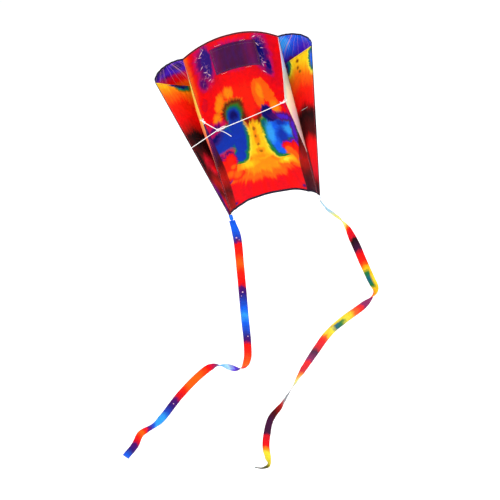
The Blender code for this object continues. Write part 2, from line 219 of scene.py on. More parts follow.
# Camera, light and floor.
def build_stage():
    camera = bpy.data.objects.new("camera", bpy.data.cameras.new("camera"))
    bpy.context.scene.collection.objects.link(camera)
    look = Vector((-0.1137, 0.8026, -0.5856)).normalized()
    up = Vector((0.2120, 0.5955, 0.7749))
    right = look.cross(up).normalized()
    up = right.cross(look)
    turn = Matrix((right, up, -look)).transposed().to_4x4()
    camera.matrix_world = Matrix.Translation((0.5617, -3.0694, 1.8112)) @ turn
    camera.data.lens = 80.0
    camera.data.sensor_width = 36.0
    camera.data.clip_end = 200.0
    bpy.context.scene.camera = camera
    bpy.context.scene.view_settings.view_transform = "Standard"
    world = bpy.data.worlds.new("studio")
    bpy.context.scene.world = world
    world.use_nodes = True
    sky = world.node_tree.nodes["Background"]
    sky.inputs["Color"].default_value = (1.0, 1.0, 1.0, 1.0)
    sky.inputs["Strength"].default_value = 0.90
    for name, place, power, size in (
        ("key_light", (-2.2, -3.6, 3.2), 95.0, 3.0),
        ("fill_light", (3.2, -2.4, 0.6), 40.0, 2.6),
        ("floor_light", (0.4, 1.6, 4.6), 330.0, 5.0),
    ):
        lamp = bpy.data.objects.new(name, bpy.data.lights.new(name, "AREA"))
        lamp.data.energy = power
        lamp.data.size = size
        lamp.location = place
        aim = Vector((0.1, 0.3, -0.3)) - Vector(place)
        lamp.rotation_mode = "QUATERNION"
        lamp.rotation_quaternion = aim.to_track_quat("-Z", "Y")
        bpy.context.scene.collection.objects.link(lamp)
    half = 40.0
    depth = float(cad_box[0].z) - 0.45
    mesh = bpy.data.meshes.new("studio_floor")
    corners = [(-half, -half, depth), (half, -half, depth), (half, half, depth), (-half, half, depth)]
    mesh.from_pydata(corners, [], [(0, 1, 2, 3)])
    floor = bpy.data.objects.new("studio_floor", mesh)
    bpy.context.scene.collection.objects.link(floor)
    paint = Graph("studio_floor_paint")
    grain = paint.noise(paint.node("ShaderNodeTexCoord").outputs["Object"], 3.0, 3.0)
    tone = paint.ramp(grain, ((0.3, (0.95, 0.95, 0.95)), (0.7, (0.97, 0.97, 0.97))))
    paint.surface(tone, roughness=0.9)
    mesh.materials.append(paint.material)


class Graph:
    """A short way to write one node material."""

    def __init__(self, name):
        self.material = bpy.data.materials.new(name)
        self.material.use_nodes = True
        self.tree = self.material.node_tree
        self.tree.nodes.clear()

    def node(self, kind, inputs=None, **settings):
        made = self.tree.nodes.new(kind)
        for key, value in settings.items():
            setattr(made, key, value)
        for key, value in (inputs or {}).items():
            self.feed(made.inputs[key], value)
        return made

    def feed(self, socket, value):
        if isinstance(value, bpy.types.NodeSocket):
            self.tree.links.new(value, socket)
        elif isinstance(value, tuple) and len(value) == 3 and socket.type == "RGBA":
            socket.default_value = (*value, 1.0)
        else:
            socket.default_value = value

    def math(self, operation, a, b=0.0, c=0.0):
        return self.node("ShaderNodeMath", {0: a, 1: b, 2: c}, operation=operation).outputs[0]

    def vector(self, operation, a, b=(0.0, 0.0, 0.0), out=0):
        made = self.node("ShaderNodeVectorMath", operation=operation)
        self.feed(made.inputs[0], a)
        if len(made.inputs) > 1 and operation not in ("LENGTH", "NORMALIZE"):
            self.feed(made.inputs[1], b)
        return made.outputs[out]

    def noise(self, vector, scale, detail=2.0, out=0, rough=0.5):
        inputs = {"Vector": vector, "Scale": scale, "Detail": detail, "Roughness": rough}
        return self.node("ShaderNodeTexNoise", inputs).outputs[out]

    def span(self, value, low, high, to_low=0.0, to_high=1.0, kind="SMOOTHSTEP"):
        inputs = {"Value": value, "From Min": low, "From Max": high}
        inputs.update({"To Min": to_low, "To Max": to_high})
        return self.node("ShaderNodeMapRange", inputs, interpolation_type=kind).outputs[0]

    def ramp(self, value, stops, out=0):
        """stops are (place, colour) or (place, colour, alpha), with linear colours."""
        made = self.node("ShaderNodeValToRGB", {"Fac": value})
        marks = made.color_ramp.elements
        while len(marks) < len(stops):
            marks.new(0.5)
        for mark, stop in zip(marks, sorted(stops), strict=True):
            mark.position = stop[0]
        for mark, stop in zip(marks, sorted(stops), strict=True):
            mark.color = (*stop[1], stop[2] if len(stop) > 2 else 1.0)
        return made if out is None else made.outputs[out]

    def blend(self, factor, a, b, kind="MIX"):
        made = self.node("ShaderNodeMix", data_type="RGBA", blend_type=kind)
        for index, value in ((0, factor), (6, a), (7, b)):
            self.feed(made.inputs[index], value)
        return made.outputs[2]

    def split(self, vector):
        return self.node("ShaderNodeSeparateXYZ", {0: vector}).outputs

    def join(self, x, y, z):
        return self.node("ShaderNodeCombineXYZ", {0: x, 1: y, 2: z}).outputs[0]

    def bump(self, height, distance, strength=1.0, under=None):
        inputs = {"Height": height, "Distance": distance, "Strength": strength}
        if under is not None:
            inputs["Normal"] = under
        return self.node("ShaderNodeBump", inputs).outputs[0]

    def surface(self, colour, roughness=0.6, normal=None, sheen=0.0, through=0.0, specular=0.4):
        """A cloth or thread finish. through is how much light comes through from behind."""
        inputs = {"Base Color": colour, "Roughness": roughness}
        inputs.update({"Sheen Weight": sheen, "Specular IOR Level": specular})
        if normal is not None:
            inputs["Normal"] = normal
        shader = self.node("ShaderNodeBsdfPrincipled", inputs).outputs[0]
        if through:
            glow = self.node("ShaderNodeBsdfTranslucent", {"Color": colour}).outputs[0]
            shader = self.node("ShaderNodeMixShader", {0: through, 1: shader, 2: glow}).outputs[0]
        self.node("ShaderNodeOutputMaterial", {"Surface": shader})
        return self.material


# Colours as seen on screen, turned linear where they are used: the print's dyes, with the dark ones also
# used for painted shade.
SCREEN_COLOURS = {
    "red": (250, 4, 8),
    "scarlet": (254, 34, 2),
    "crimson": (222, 0, 40),
    "brick": (186, 20, 4),
    "orange": (255, 104, 0),
    "amber": (255, 150, 6),
    "yellow": (255, 208, 24),
    "lemon": (250, 234, 60),
    "ochre": (176, 110, 0),
    "olive": (92, 88, 20),
    "brown": (104, 26, 4),
    "green": (30, 130, 52),
    "teal": (4, 104, 126),
    "blue": (16, 58, 186),
    "azure": (22, 104, 244),
    "sky": (56, 170, 252),
    "navy": (4, 2, 110),
    "ink": (12, 4, 36),
    "indigo": (52, 28, 128),
    "violet": (84, 36, 214),
    "purple": (88, 8, 112),
    "plum": (72, 20, 64),
    "mauve": (150, 22, 100),
    "magenta": (206, 8, 96),
    "pink": (244, 84, 140),
    "blush": (252, 176, 206),
    "maroon": (78, 0, 6),
    "black_red": (34, 0, 6),
    "cobalt": (34, 78, 206),
    "mist": (176, 222, 240),
    "cream": (240, 238, 130),
    "steel": (140, 150, 156),
    "pale": (238, 238, 242),
    "white": (248, 248, 246),
}


def linear_colour(name):
    return tuple((c / 255.0) ** 2.2 for c in SCREEN_COLOURS[name])


RAMP_REACH = 1.5


def dye_group(graph, plane, base, shapes, palette, center, ragged, rays, soft):
    """Lays one dye over base, inside the smooth union of ellipses (x, y, half x, half y, turn).

    The palette is colour names with the share of the way out at which each stands, 1 being the rim.
    Rays drawn out from the center break up the rim, as dye runs along the folds of tied cloth.
    """
    field = None
    for x, y, half_x, half_y, turn in shapes:
        inputs = {"Vector": plane, "Location": (x, y, 0.0), "Scale": (half_x, half_y, 1.0)}
        inputs["Rotation"] = (0.0, 0.0, math.radians(turn))
        local = graph.node("ShaderNodeMapping", inputs, vector_type="TEXTURE").outputs[0]
        away = graph.vector("LENGTH", local, out=1)
        field = away if field is None else graph.math("SMOOTH_MIN", field, away, 0.12)
    offset = graph.vector("SUBTRACT", plane, (*center, 0.0))
    heading = graph.vector("NORMALIZE", offset)
    fine = graph.vector("MULTIPLY", offset, (0.9, 0.9, 0.0))
    place = graph.vector("ADD", graph.vector("MULTIPLY", heading, (rays, rays, rays)), fine)
    fringe = graph.noise(place, 1.0, 2.0, rough=0.7)
    reach = graph.math("MULTIPLY_ADD", fringe, ragged, graph.math("SUBTRACT", field, ragged * 0.5))
    stops = [(min(at * (1.0 - soft), 1.0) / RAMP_REACH, linear_colour(name), 1.0) for at, name in palette]
    stops.append((min(stops[-1][0] + 2.0 * soft / RAMP_REACH, 1.0), linear_colour(palette[-1][1]), 0.0))
    ramp = graph.ramp(graph.math("MULTIPLY", reach, 1.0 / RAMP_REACH), stops, out=None)
    return graph.blend(ramp.outputs["Alpha"], base, ramp.outputs["Color"])


def laid_dyes(graph, plane, colour, dyes, tall):
    """Lays a table of dyes, given in shares of a panel, which stands tall times its width."""
    for center, ragged, soft, palette, shapes in dyes:
        stretched = [(x, y * tall, a, b * tall, turn) for x, y, a, b, turn in shapes]
        middle = (center[0], center[1] * tall)
        colour = dye_group(graph, plane, colour, stretched, palette, middle, ragged, 6.0, soft)
    return colour


def warped(graph, plane):
    """The plane, wandering a little, so that no dye edge is a clean curve."""
    for scale, amount in ((3.0, 0.05), (11.0, 0.022), (46.0, 0.010)):
        push = graph.vector("SUBTRACT", graph.noise(plane, scale, 2.0, out=1), (0.5, 0.5, 0.5))
        push = graph.vector("MULTIPLY", push, (amount, amount, 0.0))
        plane = graph.vector("ADD", plane, push)
    return plane


REVERSE_TINT = (0.86, 0.80, 0.86)


def ripstop(graph, colour, fade, through, tint=REVERSE_TINT):
    """Ripstop nylon under a dyed colour: woven grid, fine crinkles and a slight shine."""
    metres = graph.node("ShaderNodeUVMap", uv_map="cloth").outputs[0]
    across, along = graph.split(metres)[:2]
    lines = []
    for run in (across, along):
        saw = graph.math("PINGPONG", run, 0.0026)
        lines.append(graph.span(saw, 0.00022, 0.00050, 1.0, 0.0))
    grid = graph.math("MAXIMUM", *lines)
    weave_scale = 2.0 * math.pi / 0.0009
    warp = graph.math("SINE", graph.math("MULTIPLY", across, weave_scale))
    weft = graph.math("SINE", graph.math("MULTIPLY", along, weave_scale))
    weave = graph.math("MULTIPLY", warp, weft)
    crinkle = graph.noise(metres, 58.0, 5.0, rough=0.62)
    tone = graph.span(crinkle, 0.25, 0.75, 0.84, 1.12, kind="LINEAR")
    colour = graph.blend(1.0, colour, graph.join(tone, tone, tone), "MULTIPLY")
    colour = graph.blend(graph.math("MULTIPLY", grid, 0.14), colour, (0.02, 0.01, 0.03))
    if fade:
        colour = graph.blend(fade, colour, tint)
    normal = graph.bump(crinkle, 0.0022, 0.6)
    normal = graph.bump(grid, 0.00012, 0.8, normal)
    normal = graph.bump(weave, 0.00005, 0.5, normal)
    rough = graph.span(crinkle, 0.3, 0.7, 0.46, 0.62, kind="LINEAR")
    return graph.surface(colour, rough, normal, through=through, specular=0.09)


def uv_plane(graph, width, height):
    """The print's own plane, in which a spot keeps its shape."""
    share = graph.node("ShaderNodeUVMap", uv_map="print").outputs[0]
    return share, graph.vector("MULTIPLY", share, (width, height, 1.0))


# The centre panel's print, in shares of the panel. Each group of ellipses is one dye: where its rays
# spread from, how ragged and soft its rim is, its colours from the middle out, 1 being the rim, and
# its ellipses. The print is made as several materials, which meet at the heights in PRINT_BANDS,
# because the renderer can't take it all as one.
PRINT_BANDS = (0.0, 0.34, 0.46, 0.56, 0.67, 1.0)
CENTER_DYES = (
    # Scarlet beside the left seam and over the right shoulder, crimson round the pocket.
    ((0.05, 0.10), 0.4, 0.20, ((0.4, "orange"), (1.0, "scarlet")), ((0.00, 0.12, 0.075, 0.27, 0),)),
    ((0.45, 0.12), 0.9, 0.30, ((0.7, "magenta"), (1.0, "crimson")),
     ((0.20, 0.11, 0.15, 0.16, 0), (0.77, 0.14, 0.13, 0.17, 0))),
    ((0.30, 0.45), 1.2, 0.40, ((0.7, "crimson"), (1.0, "red")), ((0.085, 0.32, 0.06, 0.08, 20),)),
    ((0.45, 0.12), 1.0, 0.18, ((0.5, "purple"), (0.8, "mauve"), (1.0, "magenta")),
     ((0.19, 0.11, 0.100, 0.125, 0), (0.75, 0.115, 0.095, 0.125, 0), (0.47, 0.115, 0.22, 0.085, 0),
      (0.78, 0.22, 0.055, 0.040, 20), (0.14, 0.20, 0.060, 0.050, -20))),
    ((0.24, 0.10), 0.8, 0.22, ((0.4, "indigo"), (1.0, "indigo")), ((0.230, 0.105, 0.052, 0.090, 0),)),
    ((0.72, 0.11), 0.8, 0.22, ((0.5, "navy"), (0.9, "navy"), (1.0, "indigo")),
     ((0.715, 0.120, 0.055, 0.085, 0), (0.79, 0.19, 0.030, 0.030, 0))),
    # The red arch, brighter along its middle.
    ((0.46, 0.44), 0.9, 0.25, ((0.5, "scarlet"), (1.0, "red")), ((0.46, 0.36, 0.34, 0.12, 0),)),
    ((0.80, 0.46), 1.4, 0.10, ((0.7, "red"), (0.88, "crimson"), (1.0, "magenta")),
     ((0.785, 0.470, 0.095, 0.050, 0),)),
    ((0.10, 0.47), 1.0, 0.20, ((0.6, "crimson"), (1.0, "magenta")), ((0.10, 0.465, 0.12, 0.030, 0),)),
    # Orange blobs round the left eye and down the right shoulder.
    ((0.32, 0.45), 1.0, 0.08, ((0.45, "amber"), (0.8, "orange"), (1.0, "scarlet")),
     ((0.335, 0.318, 0.062, 0.044, 0), (0.225, 0.370, 0.056, 0.085, 24), (0.170, 0.440, 0.060, 0.055, 0),
      (0.33, 0.40, 0.14, 0.06, 0))),
    ((0.60, 0.46), 0.8, 0.06, ((0.5, "orange"), (0.9, "orange"), (1.0, "scarlet")),
     ((0.650, 0.325, 0.095, 0.048, 24), (0.605, 0.375, 0.052, 0.090, 0), (0.695, 0.375, 0.070, 0.055, 0),
      (0.745, 0.440, 0.064, 0.056, 0))),
    ((0.72, 0.44), 0.9, 0.30, ((0.5, "amber"), (1.0, "amber")),
     ((0.735, 0.450, 0.040, 0.034, 0), (0.63, 0.36, 0.03, 0.05, 0))),
    # The olive eye ring.
    ((0.32, 0.44), 0.5, 0.12, ((0.62, "green"), (0.78, "olive"), (1.0, "brown")),
     ((0.350, 0.446, 0.118, 0.084, 0),)),
    # The fan of orange rays under everything else.
    ((0.46, 0.66), 1.0, 0.05,
     ((0.12, "amber"), (0.40, "amber"), (0.62, "orange"), (0.80, "orange"), (1.0, "scarlet")),
     ((0.465, 0.795, 0.365, 0.112, 0), (0.17, 0.765, 0.12, 0.090, 0), (0.80, 0.755, 0.125, 0.098, 0))),
    # Brown-red column, then the yellow column under it.
    ((0.49, 0.44), 0.5, 0.30, ((0.5, "brick"), (1.0, "brown")), ((0.505, 0.510, 0.080, 0.048, 0),)),
    ((0.48, 0.30), 0.5, 0.30, ((0.6, "scarlet"), (1.0, "scarlet")), ((0.505, 0.430, 0.055, 0.085, 0),)),
    ((0.46, 0.62), 0.6, 0.12, ((0.2, "amber"), (0.5, "yellow"), (0.8, "yellow"), (1.0, "yellow")),
     ((0.498, 0.640, 0.085, 0.112, 0), (0.495, 0.712, 0.120, 0.055, 0))),
    ((0.46, 0.62), 1.2, 0.60, ((0.5, "amber"), (1.0, "amber")),
     ((0.490, 0.600, 0.016, 0.060, 0), (0.480, 0.748, 0.080, 0.020, 0))),
    # Green between the yellow column and the lobes, and under their feet.
    ((0.48, 0.60), 0.6, 0.10, ((0.6, "teal"), (0.86, "green"), (1.0, "lemon")),
     ((0.352, 0.610, 0.092, 0.128, 0), (0.318, 0.712, 0.080, 0.054, 8), (0.640, 0.625, 0.080, 0.132, 0),
      (0.694, 0.732, 0.084, 0.048, -8))),
    # Blue lobes, which shade through teal into green all round.
    ((0.27, 0.56), 0.45, 0.08,
     ((0.50, "blue"), (0.72, "blue"), (0.86, "teal"), (1.0, "green")),
     ((0.16, 0.575, 0.250, 0.088, 0), (0.328, 0.602, 0.092, 0.125, 0), (0.296, 0.702, 0.074, 0.052, 8))),
    ((0.68, 0.56), 0.45, 0.08,
     ((0.50, "azure"), (0.72, "azure"), (0.86, "teal"), (1.0, "green")),
     ((0.77, 0.590, 0.200, 0.080, 0), (0.662, 0.622, 0.074, 0.130, 0), (0.700, 0.720, 0.078, 0.050, -8))),
    # The eye, open to the left lobe below it, and shading inside the lobes.
    ((0.31, 0.46), 0.4, 0.10, ((0.4, "navy"), (0.75, "blue"), (1.0, "teal")),
     ((0.338, 0.465, 0.074, 0.060, 0), (0.328, 0.520, 0.080, 0.050, 0))),
    ((0.31, 0.56), 0.6, 0.40, ((0.5, "blue"), (1.0, "blue")), ((0.328, 0.550, 0.078, 0.060, 0),)),
    ((0.20, 0.57), 1.0, 0.35, ((0.5, "navy"), (1.0, "indigo")), ((0.09, 0.525, 0.09, 0.040, 0),)),
    ((0.64, 0.50), 0.7, 0.12, ((0.5, "navy"), (0.9, "navy"), (1.0, "indigo")),
     ((0.640, 0.494, 0.054, 0.052, 0), (0.68, 0.52, 0.05, 0.025, 20))),
    ((0.58, 0.56), 0.9, 0.25, ((0.5, "teal"), (1.0, "green")), ((0.590, 0.554, 0.034, 0.036, 0),)),
    ((0.60, 0.60), 0.9, 0.40, ((0.5, "sky"), (1.0, "sky")),
     ((0.630, 0.610, 0.036, 0.060, 0), (0.82, 0.590, 0.06, 0.03, 0))),
    ((0.75, 0.60), 1.0, 0.40, ((0.5, "blue"), (1.0, "blue")),
     ((0.735, 0.640, 0.050, 0.060, 0), (0.75, 0.55, 0.05, 0.02, 0))),
    # Purple and magenta where blue meets red along the tops and the outer sides.
    ((0.12, 0.60), 1.3, 0.30, ((0.5, "purple"), (1.0, "magenta")),
     ((0.115, 0.480, 0.125, 0.028, 0), (0.06, 0.655, 0.10, 0.025, 0), (0.185, 0.654, 0.060, 0.018, 0))),
    ((0.80, 0.60), 1.3, 0.30, ((0.5, "violet"), (1.0, "purple")),
     ((0.800, 0.510, 0.125, 0.028, 0), (0.890, 0.590, 0.040, 0.11, 0), (0.85, 0.668, 0.06, 0.020, 0),
      (0.77, 0.676, 0.05, 0.012, 0))),
    # The curls in the lobes' outer feet.
    ((0.17, 0.70), 0.80, 0.08,
     ((0.4, "scarlet"), (0.78, "red"), (0.90, "crimson"), (1.0, "magenta"), (1.12, "purple")),
     ((0.176, 0.706, 0.076, 0.050, 0), (0.080, 0.72, 0.10, 0.06, 0), (0.110, 0.76, 0.07, 0.06, 0))),
    ((0.19, 0.72), 0.8, 0.20, ((0.4, "orange"), (1.0, "scarlet")),
     ((0.190, 0.746, 0.046, 0.022, 20), (0.135, 0.778, 0.070, 0.036, 0), (0.21, 0.80, 0.08, 0.04, 0))),
    ((0.74, 0.72), 0.80, 0.08,
     ((0.5, "scarlet"), (0.78, "red"), (0.90, "crimson"), (1.0, "magenta"), (1.12, "violet")),
     ((0.768, 0.706, 0.068, 0.034, 0), (0.850, 0.722, 0.065, 0.060, 0))),
    ((0.74, 0.72), 0.7, 0.18, ((0.4, "orange"), (1.0, "orange")),
     ((0.765, 0.732, 0.044, 0.026, 0), (0.795, 0.768, 0.070, 0.040, 0))),
    # Yellow and green along the lobes' feet.
    ((0.30, 0.62), 2.6, 0.60, ((0.5, "yellow"), (1.0, "yellow")), ((0.325, 0.776, 0.080, 0.020, 6),)),
    ((0.64, 0.62), 2.6, 0.60, ((0.5, "lemon"), (1.0, "yellow")), ((0.720, 0.794, 0.080, 0.020, -8),)),
    ((0.26, 0.70), 1.0, 0.35, ((0.5, "green"), (1.0, "green")),
     ((0.272, 0.750, 0.045, 0.006, 8), (0.712, 0.768, 0.050, 0.006, -6))),
    # Dark dots down the yellow column.
    ((0.45, 0.60), 0.6, 0.40, ((0.5, "ochre"), (1.0, "ochre")),
     ((0.486, 0.572, 0.013, 0.012, 0), (0.490, 0.622, 0.009, 0.009, 0), (0.496, 0.672, 0.011, 0.008, 0),
      (0.500, 0.716, 0.012, 0.007, 0))),
    # Purple in the trailing corners.
    ((0.5, 0.9), 1.0, 0.45, ((0.5, "purple"), (1.0, "crimson")),
     ((0.10, 0.975, 0.050, 0.018, 0), (0.85, 0.965, 0.045, 0.022, 0))),
)
# Pale crackle strokes where the folded cloth kept the dye out: x, y, half length, half width, turn.
CENTER_STROKES = (
    (0.195, 0.045, 0.026, 0.0032, -36),
    (0.176, 0.062, 0.018, 0.0028, 20),
    (0.222, 0.030, 0.010, 0.0028, 60),
    (0.170, 0.122, 0.020, 0.0026, -30),
    (0.192, 0.150, 0.020, 0.0030, 24),
    (0.222, 0.172, 0.018, 0.0032, 60),
    (0.212, 0.203, 0.018, 0.0038, -24),
    (0.716, 0.075, 0.022, 0.0032, 40),
    (0.756, 0.097, 0.018, 0.0032, 4),
    (0.752, 0.180, 0.020, 0.0032, -6),
    (0.731, 0.196, 0.016, 0.0028, 74),
    (0.725, 0.238, 0.018, 0.0032, 28),
    (0.700, 0.030, 0.020, 0.0028, -20),
)


def seen_in_band(shapes, low, high):
    """Whether any ellipse of a dye comes near a band of the panel."""
    for _, y, _, half_y, _ in shapes:
        reach = 1.2 * half_y + 0.04
        if y - reach < high and y + reach > low:
            return True
    return False


def painted_shade_strip(graph, colour, share, flip, start, width, stops):
    """Painted shade on the steep run beside a seam, where two layers of cloth lie together and show dark
    against the light, with a painted darker line along its crease.
    """
    across, along = graph.split(share)[:2]
    if flip:
        across = graph.math("SUBTRACT", 1.0, across)
    grown = graph.span(along, start, start + 0.45, 0.0, width)
    wave = graph.math("MULTIPLY", graph.math("SINE", graph.math("MULTIPLY", along, 17.0)), 0.004)
    inside = graph.math("SUBTRACT", graph.math("ADD", grown, wave), across)
    mask = graph.span(inside, -0.003, 0.005)
    wander = graph.noise(share, 9.0, 3.0)
    place = graph.math("ADD", along, graph.math("MULTIPLY", graph.math("SUBTRACT", wander, 0.5), 0.16))
    tone = graph.ramp(place, [(spot, linear_colour(name)) for spot, name in stops])
    # Painted shade: a line of ink along the strip's inner edge, in its crease.
    edge = graph.span(graph.math("ABSOLUTE", inside), 0.0, 0.007, 0.5, 0.0)
    shade = graph.math("MULTIPLY", edge, graph.span(along, start, start + 0.1))
    crease_shaded = graph.blend(shade, colour, linear_colour("ink"))
    return graph.blend(graph.math("MULTIPLY", mask, 0.97), crease_shaded, tone)


# Colours of the painted shade in the strips beside the left and right seams, down the panel.
LEFT_SHADE_STRIP = (
    (0.30, "indigo"), (0.44, "navy"), (0.52, "purple"), (0.60, "plum"), (0.68, "maroon"), (0.78, "brick"),
    (0.88, "maroon"), (1.0, "brick"),
)
RIGHT_SHADE_STRIP = (
    (0.34, "mauve"), (0.50, "maroon"), (0.66, "maroon"), (0.76, "brick"), (0.88, "maroon"), (1.0, "ink"),
)


def center_print(name, fade, through, low, high):
    """The part of the centre print between two heights of the panel."""
    graph = Graph(name)
    share, plane = uv_plane(graph, 1.0, CENTER_TALL)
    moved = warped(graph, plane)
    heading = graph.vector("NORMALIZE", graph.vector("SUBTRACT", plane, (0.46, 0.75, 0.0)))
    streak = graph.span(graph.noise(heading, 9.0, 3.0), 0.38, 0.62)
    colour = graph.blend(graph.math("MULTIPLY", streak, 0.5), linear_colour("red"), linear_colour("crimson"))
    seen = [group for group in CENTER_DYES if seen_in_band(group[-1], low, high)]
    colour = laid_dyes(graph, moved, colour, seen, CENTER_TALL)
    if low < 0.3:
        strokes = [(x, y * CENTER_TALL, a, b, turn) for x, y, a, b, turn in CENTER_STROKES]
        half = len(strokes) // 2
        for part in (strokes[:half], strokes[half:]):
            colour = dye_group(
                graph, moved, colour, part, ((0.5, "white"), (1.0, "blush")), (0.5, 0.2), 0.9, 9.0, 0.3
            )
        flecks = graph.node(
            "ShaderNodeTexVoronoi", {"Vector": moved, "Scale": 30.0}, feature="DISTANCE_TO_EDGE"
        ).outputs[0]
        where = graph.span(flecks, 0.0, 0.045, 1.0, 0.0)
        across, along = graph.split(share)[:2]
        aside = graph.math("ABSOLUTE", graph.math("SUBTRACT", across, 0.47))
        for limit in (
            graph.span(aside, 0.20, 0.24),
            graph.span(along, 0.21, 0.27, 1.0, 0.0),
            graph.span(aside, 0.33, 0.37, 1.0, 0.0),
            graph.span(graph.noise(plane, 16.0, 3.0), 0.50, 0.62, 0.0, 0.55),
        ):
            where = graph.math("MULTIPLY", where, limit)
        colour = graph.blend(where, colour, linear_colour("blush"))
    # Painted shade in the doubled strips beside both seams.
    colour = painted_shade_strip(graph, colour, share, False, 0.30, 0.098, LEFT_SHADE_STRIP)
    colour = painted_shade_strip(graph, colour, share, True, 0.38, 0.135, RIGHT_SHADE_STRIP)
    return ripstop(graph, colour, fade, through)


# The other panels: bands down the cloth, then groups, each in shares of its own panel.
def banded_print(name, bands, dyes, tall, fade=0.0, through=0.22, sway=0.10, tint=REVERSE_TINT):
    graph = Graph(name)
    plane = uv_plane(graph, 1.0, tall)[1]
    moved = warped(graph, plane)
    across, along = graph.split(moved)[:2]
    bowed = graph.math("MULTIPLY", graph.math("PINGPONG", across, 0.5), sway)
    place = graph.math("ADD", graph.math("DIVIDE", along, tall), bowed)
    streak = graph.noise(graph.vector("MULTIPLY", plane, (26.0, 2.4, 1.0)), 1.0, 3.0)
    place = graph.math("MULTIPLY_ADD", graph.math("SUBTRACT", streak, 0.5), 0.09, place)
    colour = graph.ramp(place, [(spot, linear_colour(tone)) for spot, tone in bands])
    colour = laid_dyes(graph, moved, colour, dyes, tall)
    return ripstop(graph, colour, fade, through, tint)


class Surface:
    """A cloth as a grid of points, with its normals turned to face a given way."""

    def __init__(self, points, facing):
        self.points = points
        du = np.gradient(points, axis=1)
        dv = np.gradient(points, axis=0)
        normals = unit(np.cross(du, dv))
        self.turned = float((normals * np.array(facing)).sum(-1).mean()) < 0.0
        self.normals = -normals if self.turned else normals

    def pushed(self, height):
        facing = self.normals.mean((0, 1))
        return Surface(self.points + self.normals * height[..., None], facing)

    def at(self, u, v, lift=0.0):
        """Points and normals at shares of the way across and along, lifted off the cloth."""
        rows, cols = self.points.shape[:2]
        x = np.clip(np.asarray(u, float), 0.0, 1.0) * (cols - 1)
        y = np.clip(np.asarray(v, float), 0.0, 1.0) * (rows - 1)
        x, y = np.broadcast_arrays(x, y)
        i = np.minimum(x.astype(int), cols - 2)
        j = np.minimum(y.astype(int), rows - 2)
        fx, fy = (x - i)[..., None], (y - j)[..., None]

        def read(grid):
            top = mix(grid[j, i], grid[j, i + 1], fx)
            return mix(top, mix(grid[j + 1, i], grid[j + 1, i + 1], fx), fy)

        normal = unit(read(self.normals))
        return read(self.points) + normal * np.asarray(lift)[..., None], normal


def mesh_of(name, vertices, faces, materials):
    """A smooth-shaded piece. faces is an array of quads, or a list where their sizes differ."""
    mesh = bpy.data.meshes.new(name)
    faces = faces.tolist() if isinstance(faces, np.ndarray) else faces
    mesh.from_pydata(np.asarray(vertices).tolist(), [], faces)
    mesh.update()
    mesh.polygons.foreach_set("use_smooth", [True] * len(mesh.polygons))
    for material in materials:
        mesh.materials.append(material)
    made = bpy.data.objects.new(name, mesh)
    bpy.context.scene.collection.objects.link(made)
    return made


def closed_mesh_of(name, vertices, faces, material):
    """A closed piece, its faces turned outwards."""
    made = mesh_of(name, vertices, faces, [material])
    bm = bmesh.new()
    bm.from_mesh(made.data)
    bmesh.ops.recalc_face_normals(bm, faces=bm.faces)
    bm.to_mesh(made.data)
    bm.free()
    return made


def grid_faces(rows, cols, turned=False, wrap=False):
    j, i = np.meshgrid(np.arange(rows - 1), np.arange(cols if wrap else cols - 1), indexing="ij")
    k = (i + 1) % cols
    quads = np.stack((j * cols + i, j * cols + k, (j + 1) * cols + k, (j + 1) * cols + i), -1)
    quads = quads.reshape(-1, 4)
    return quads[:, ::-1] if turned else quads


def add_uv(obj, name, coords):
    layer = obj.data.uv_layers.new(name=name)
    index = np.empty(len(obj.data.loops), np.int32)
    obj.data.loops.foreach_get("vertex_index", index)
    layer.data.foreach_set("uv", coords.reshape(-1, 2)[index].astype(np.float32).ravel())


def cloth_piece(name, surface, materials, thick=CLOTH, print_uv=None):
    """A cloth with its print and weave coordinates, printed on the side that it faces."""
    rows, cols = surface.points.shape[:2]
    points = surface.points + SAIL_DATUM
    obj = mesh_of(name, points.reshape(-1, 3), grid_faces(rows, cols, surface.turned), materials)
    if print_uv is None:
        u, v = np.meshgrid(np.linspace(0, 1, cols), np.linspace(0, 1, rows))
        print_uv = np.stack((u, v), -1)
    add_uv(obj, "print", print_uv)
    across = np.linalg.norm(np.diff(points, axis=1), axis=-1)
    along = np.linalg.norm(np.diff(points, axis=0), axis=-1)
    metres_u = np.concatenate((np.zeros((rows, 1)), np.cumsum(across, 1)), 1)
    metres_v = np.concatenate((np.zeros((1, cols)), np.cumsum(along, 0)), 0)
    metres_u -= metres_u[:, cols // 2 : cols // 2 + 1]
    add_uv(obj, "cloth", np.stack((metres_u, metres_v), -1))
    solid = obj.modifiers.new("cloth_thickness", "SOLIDIFY")
    solid.thickness = thick
    solid.offset = 0.0
    solid.material_offset = len(materials) // 2
    return obj


def put(obj, body, slot, *nodes):
    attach(obj, body)
    if nodes:
        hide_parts(*nodes)
    return obj


# Sewing: stitches, folded tapes and tacks.
def resample(points, normals, step):
    """Where single stitches stand on a row, and a way to read points and normals along it."""
    far = far_along(points)
    count = max(int(far[-1] / step), 1)
    wanted = (np.arange(count) + 0.5) * far[-1] / count

    def read(at):
        return read_path(at, far, points), unit(read_path(at, far, normals))

    return wanted, read


def both_faces(surface, u, v, lift):
    """One row of stitching on each face of a cloth, lifted off its middle."""
    points, normals = surface.at(u, v)
    return [(points + normals * lift, normals), (points - normals * lift, -normals)]


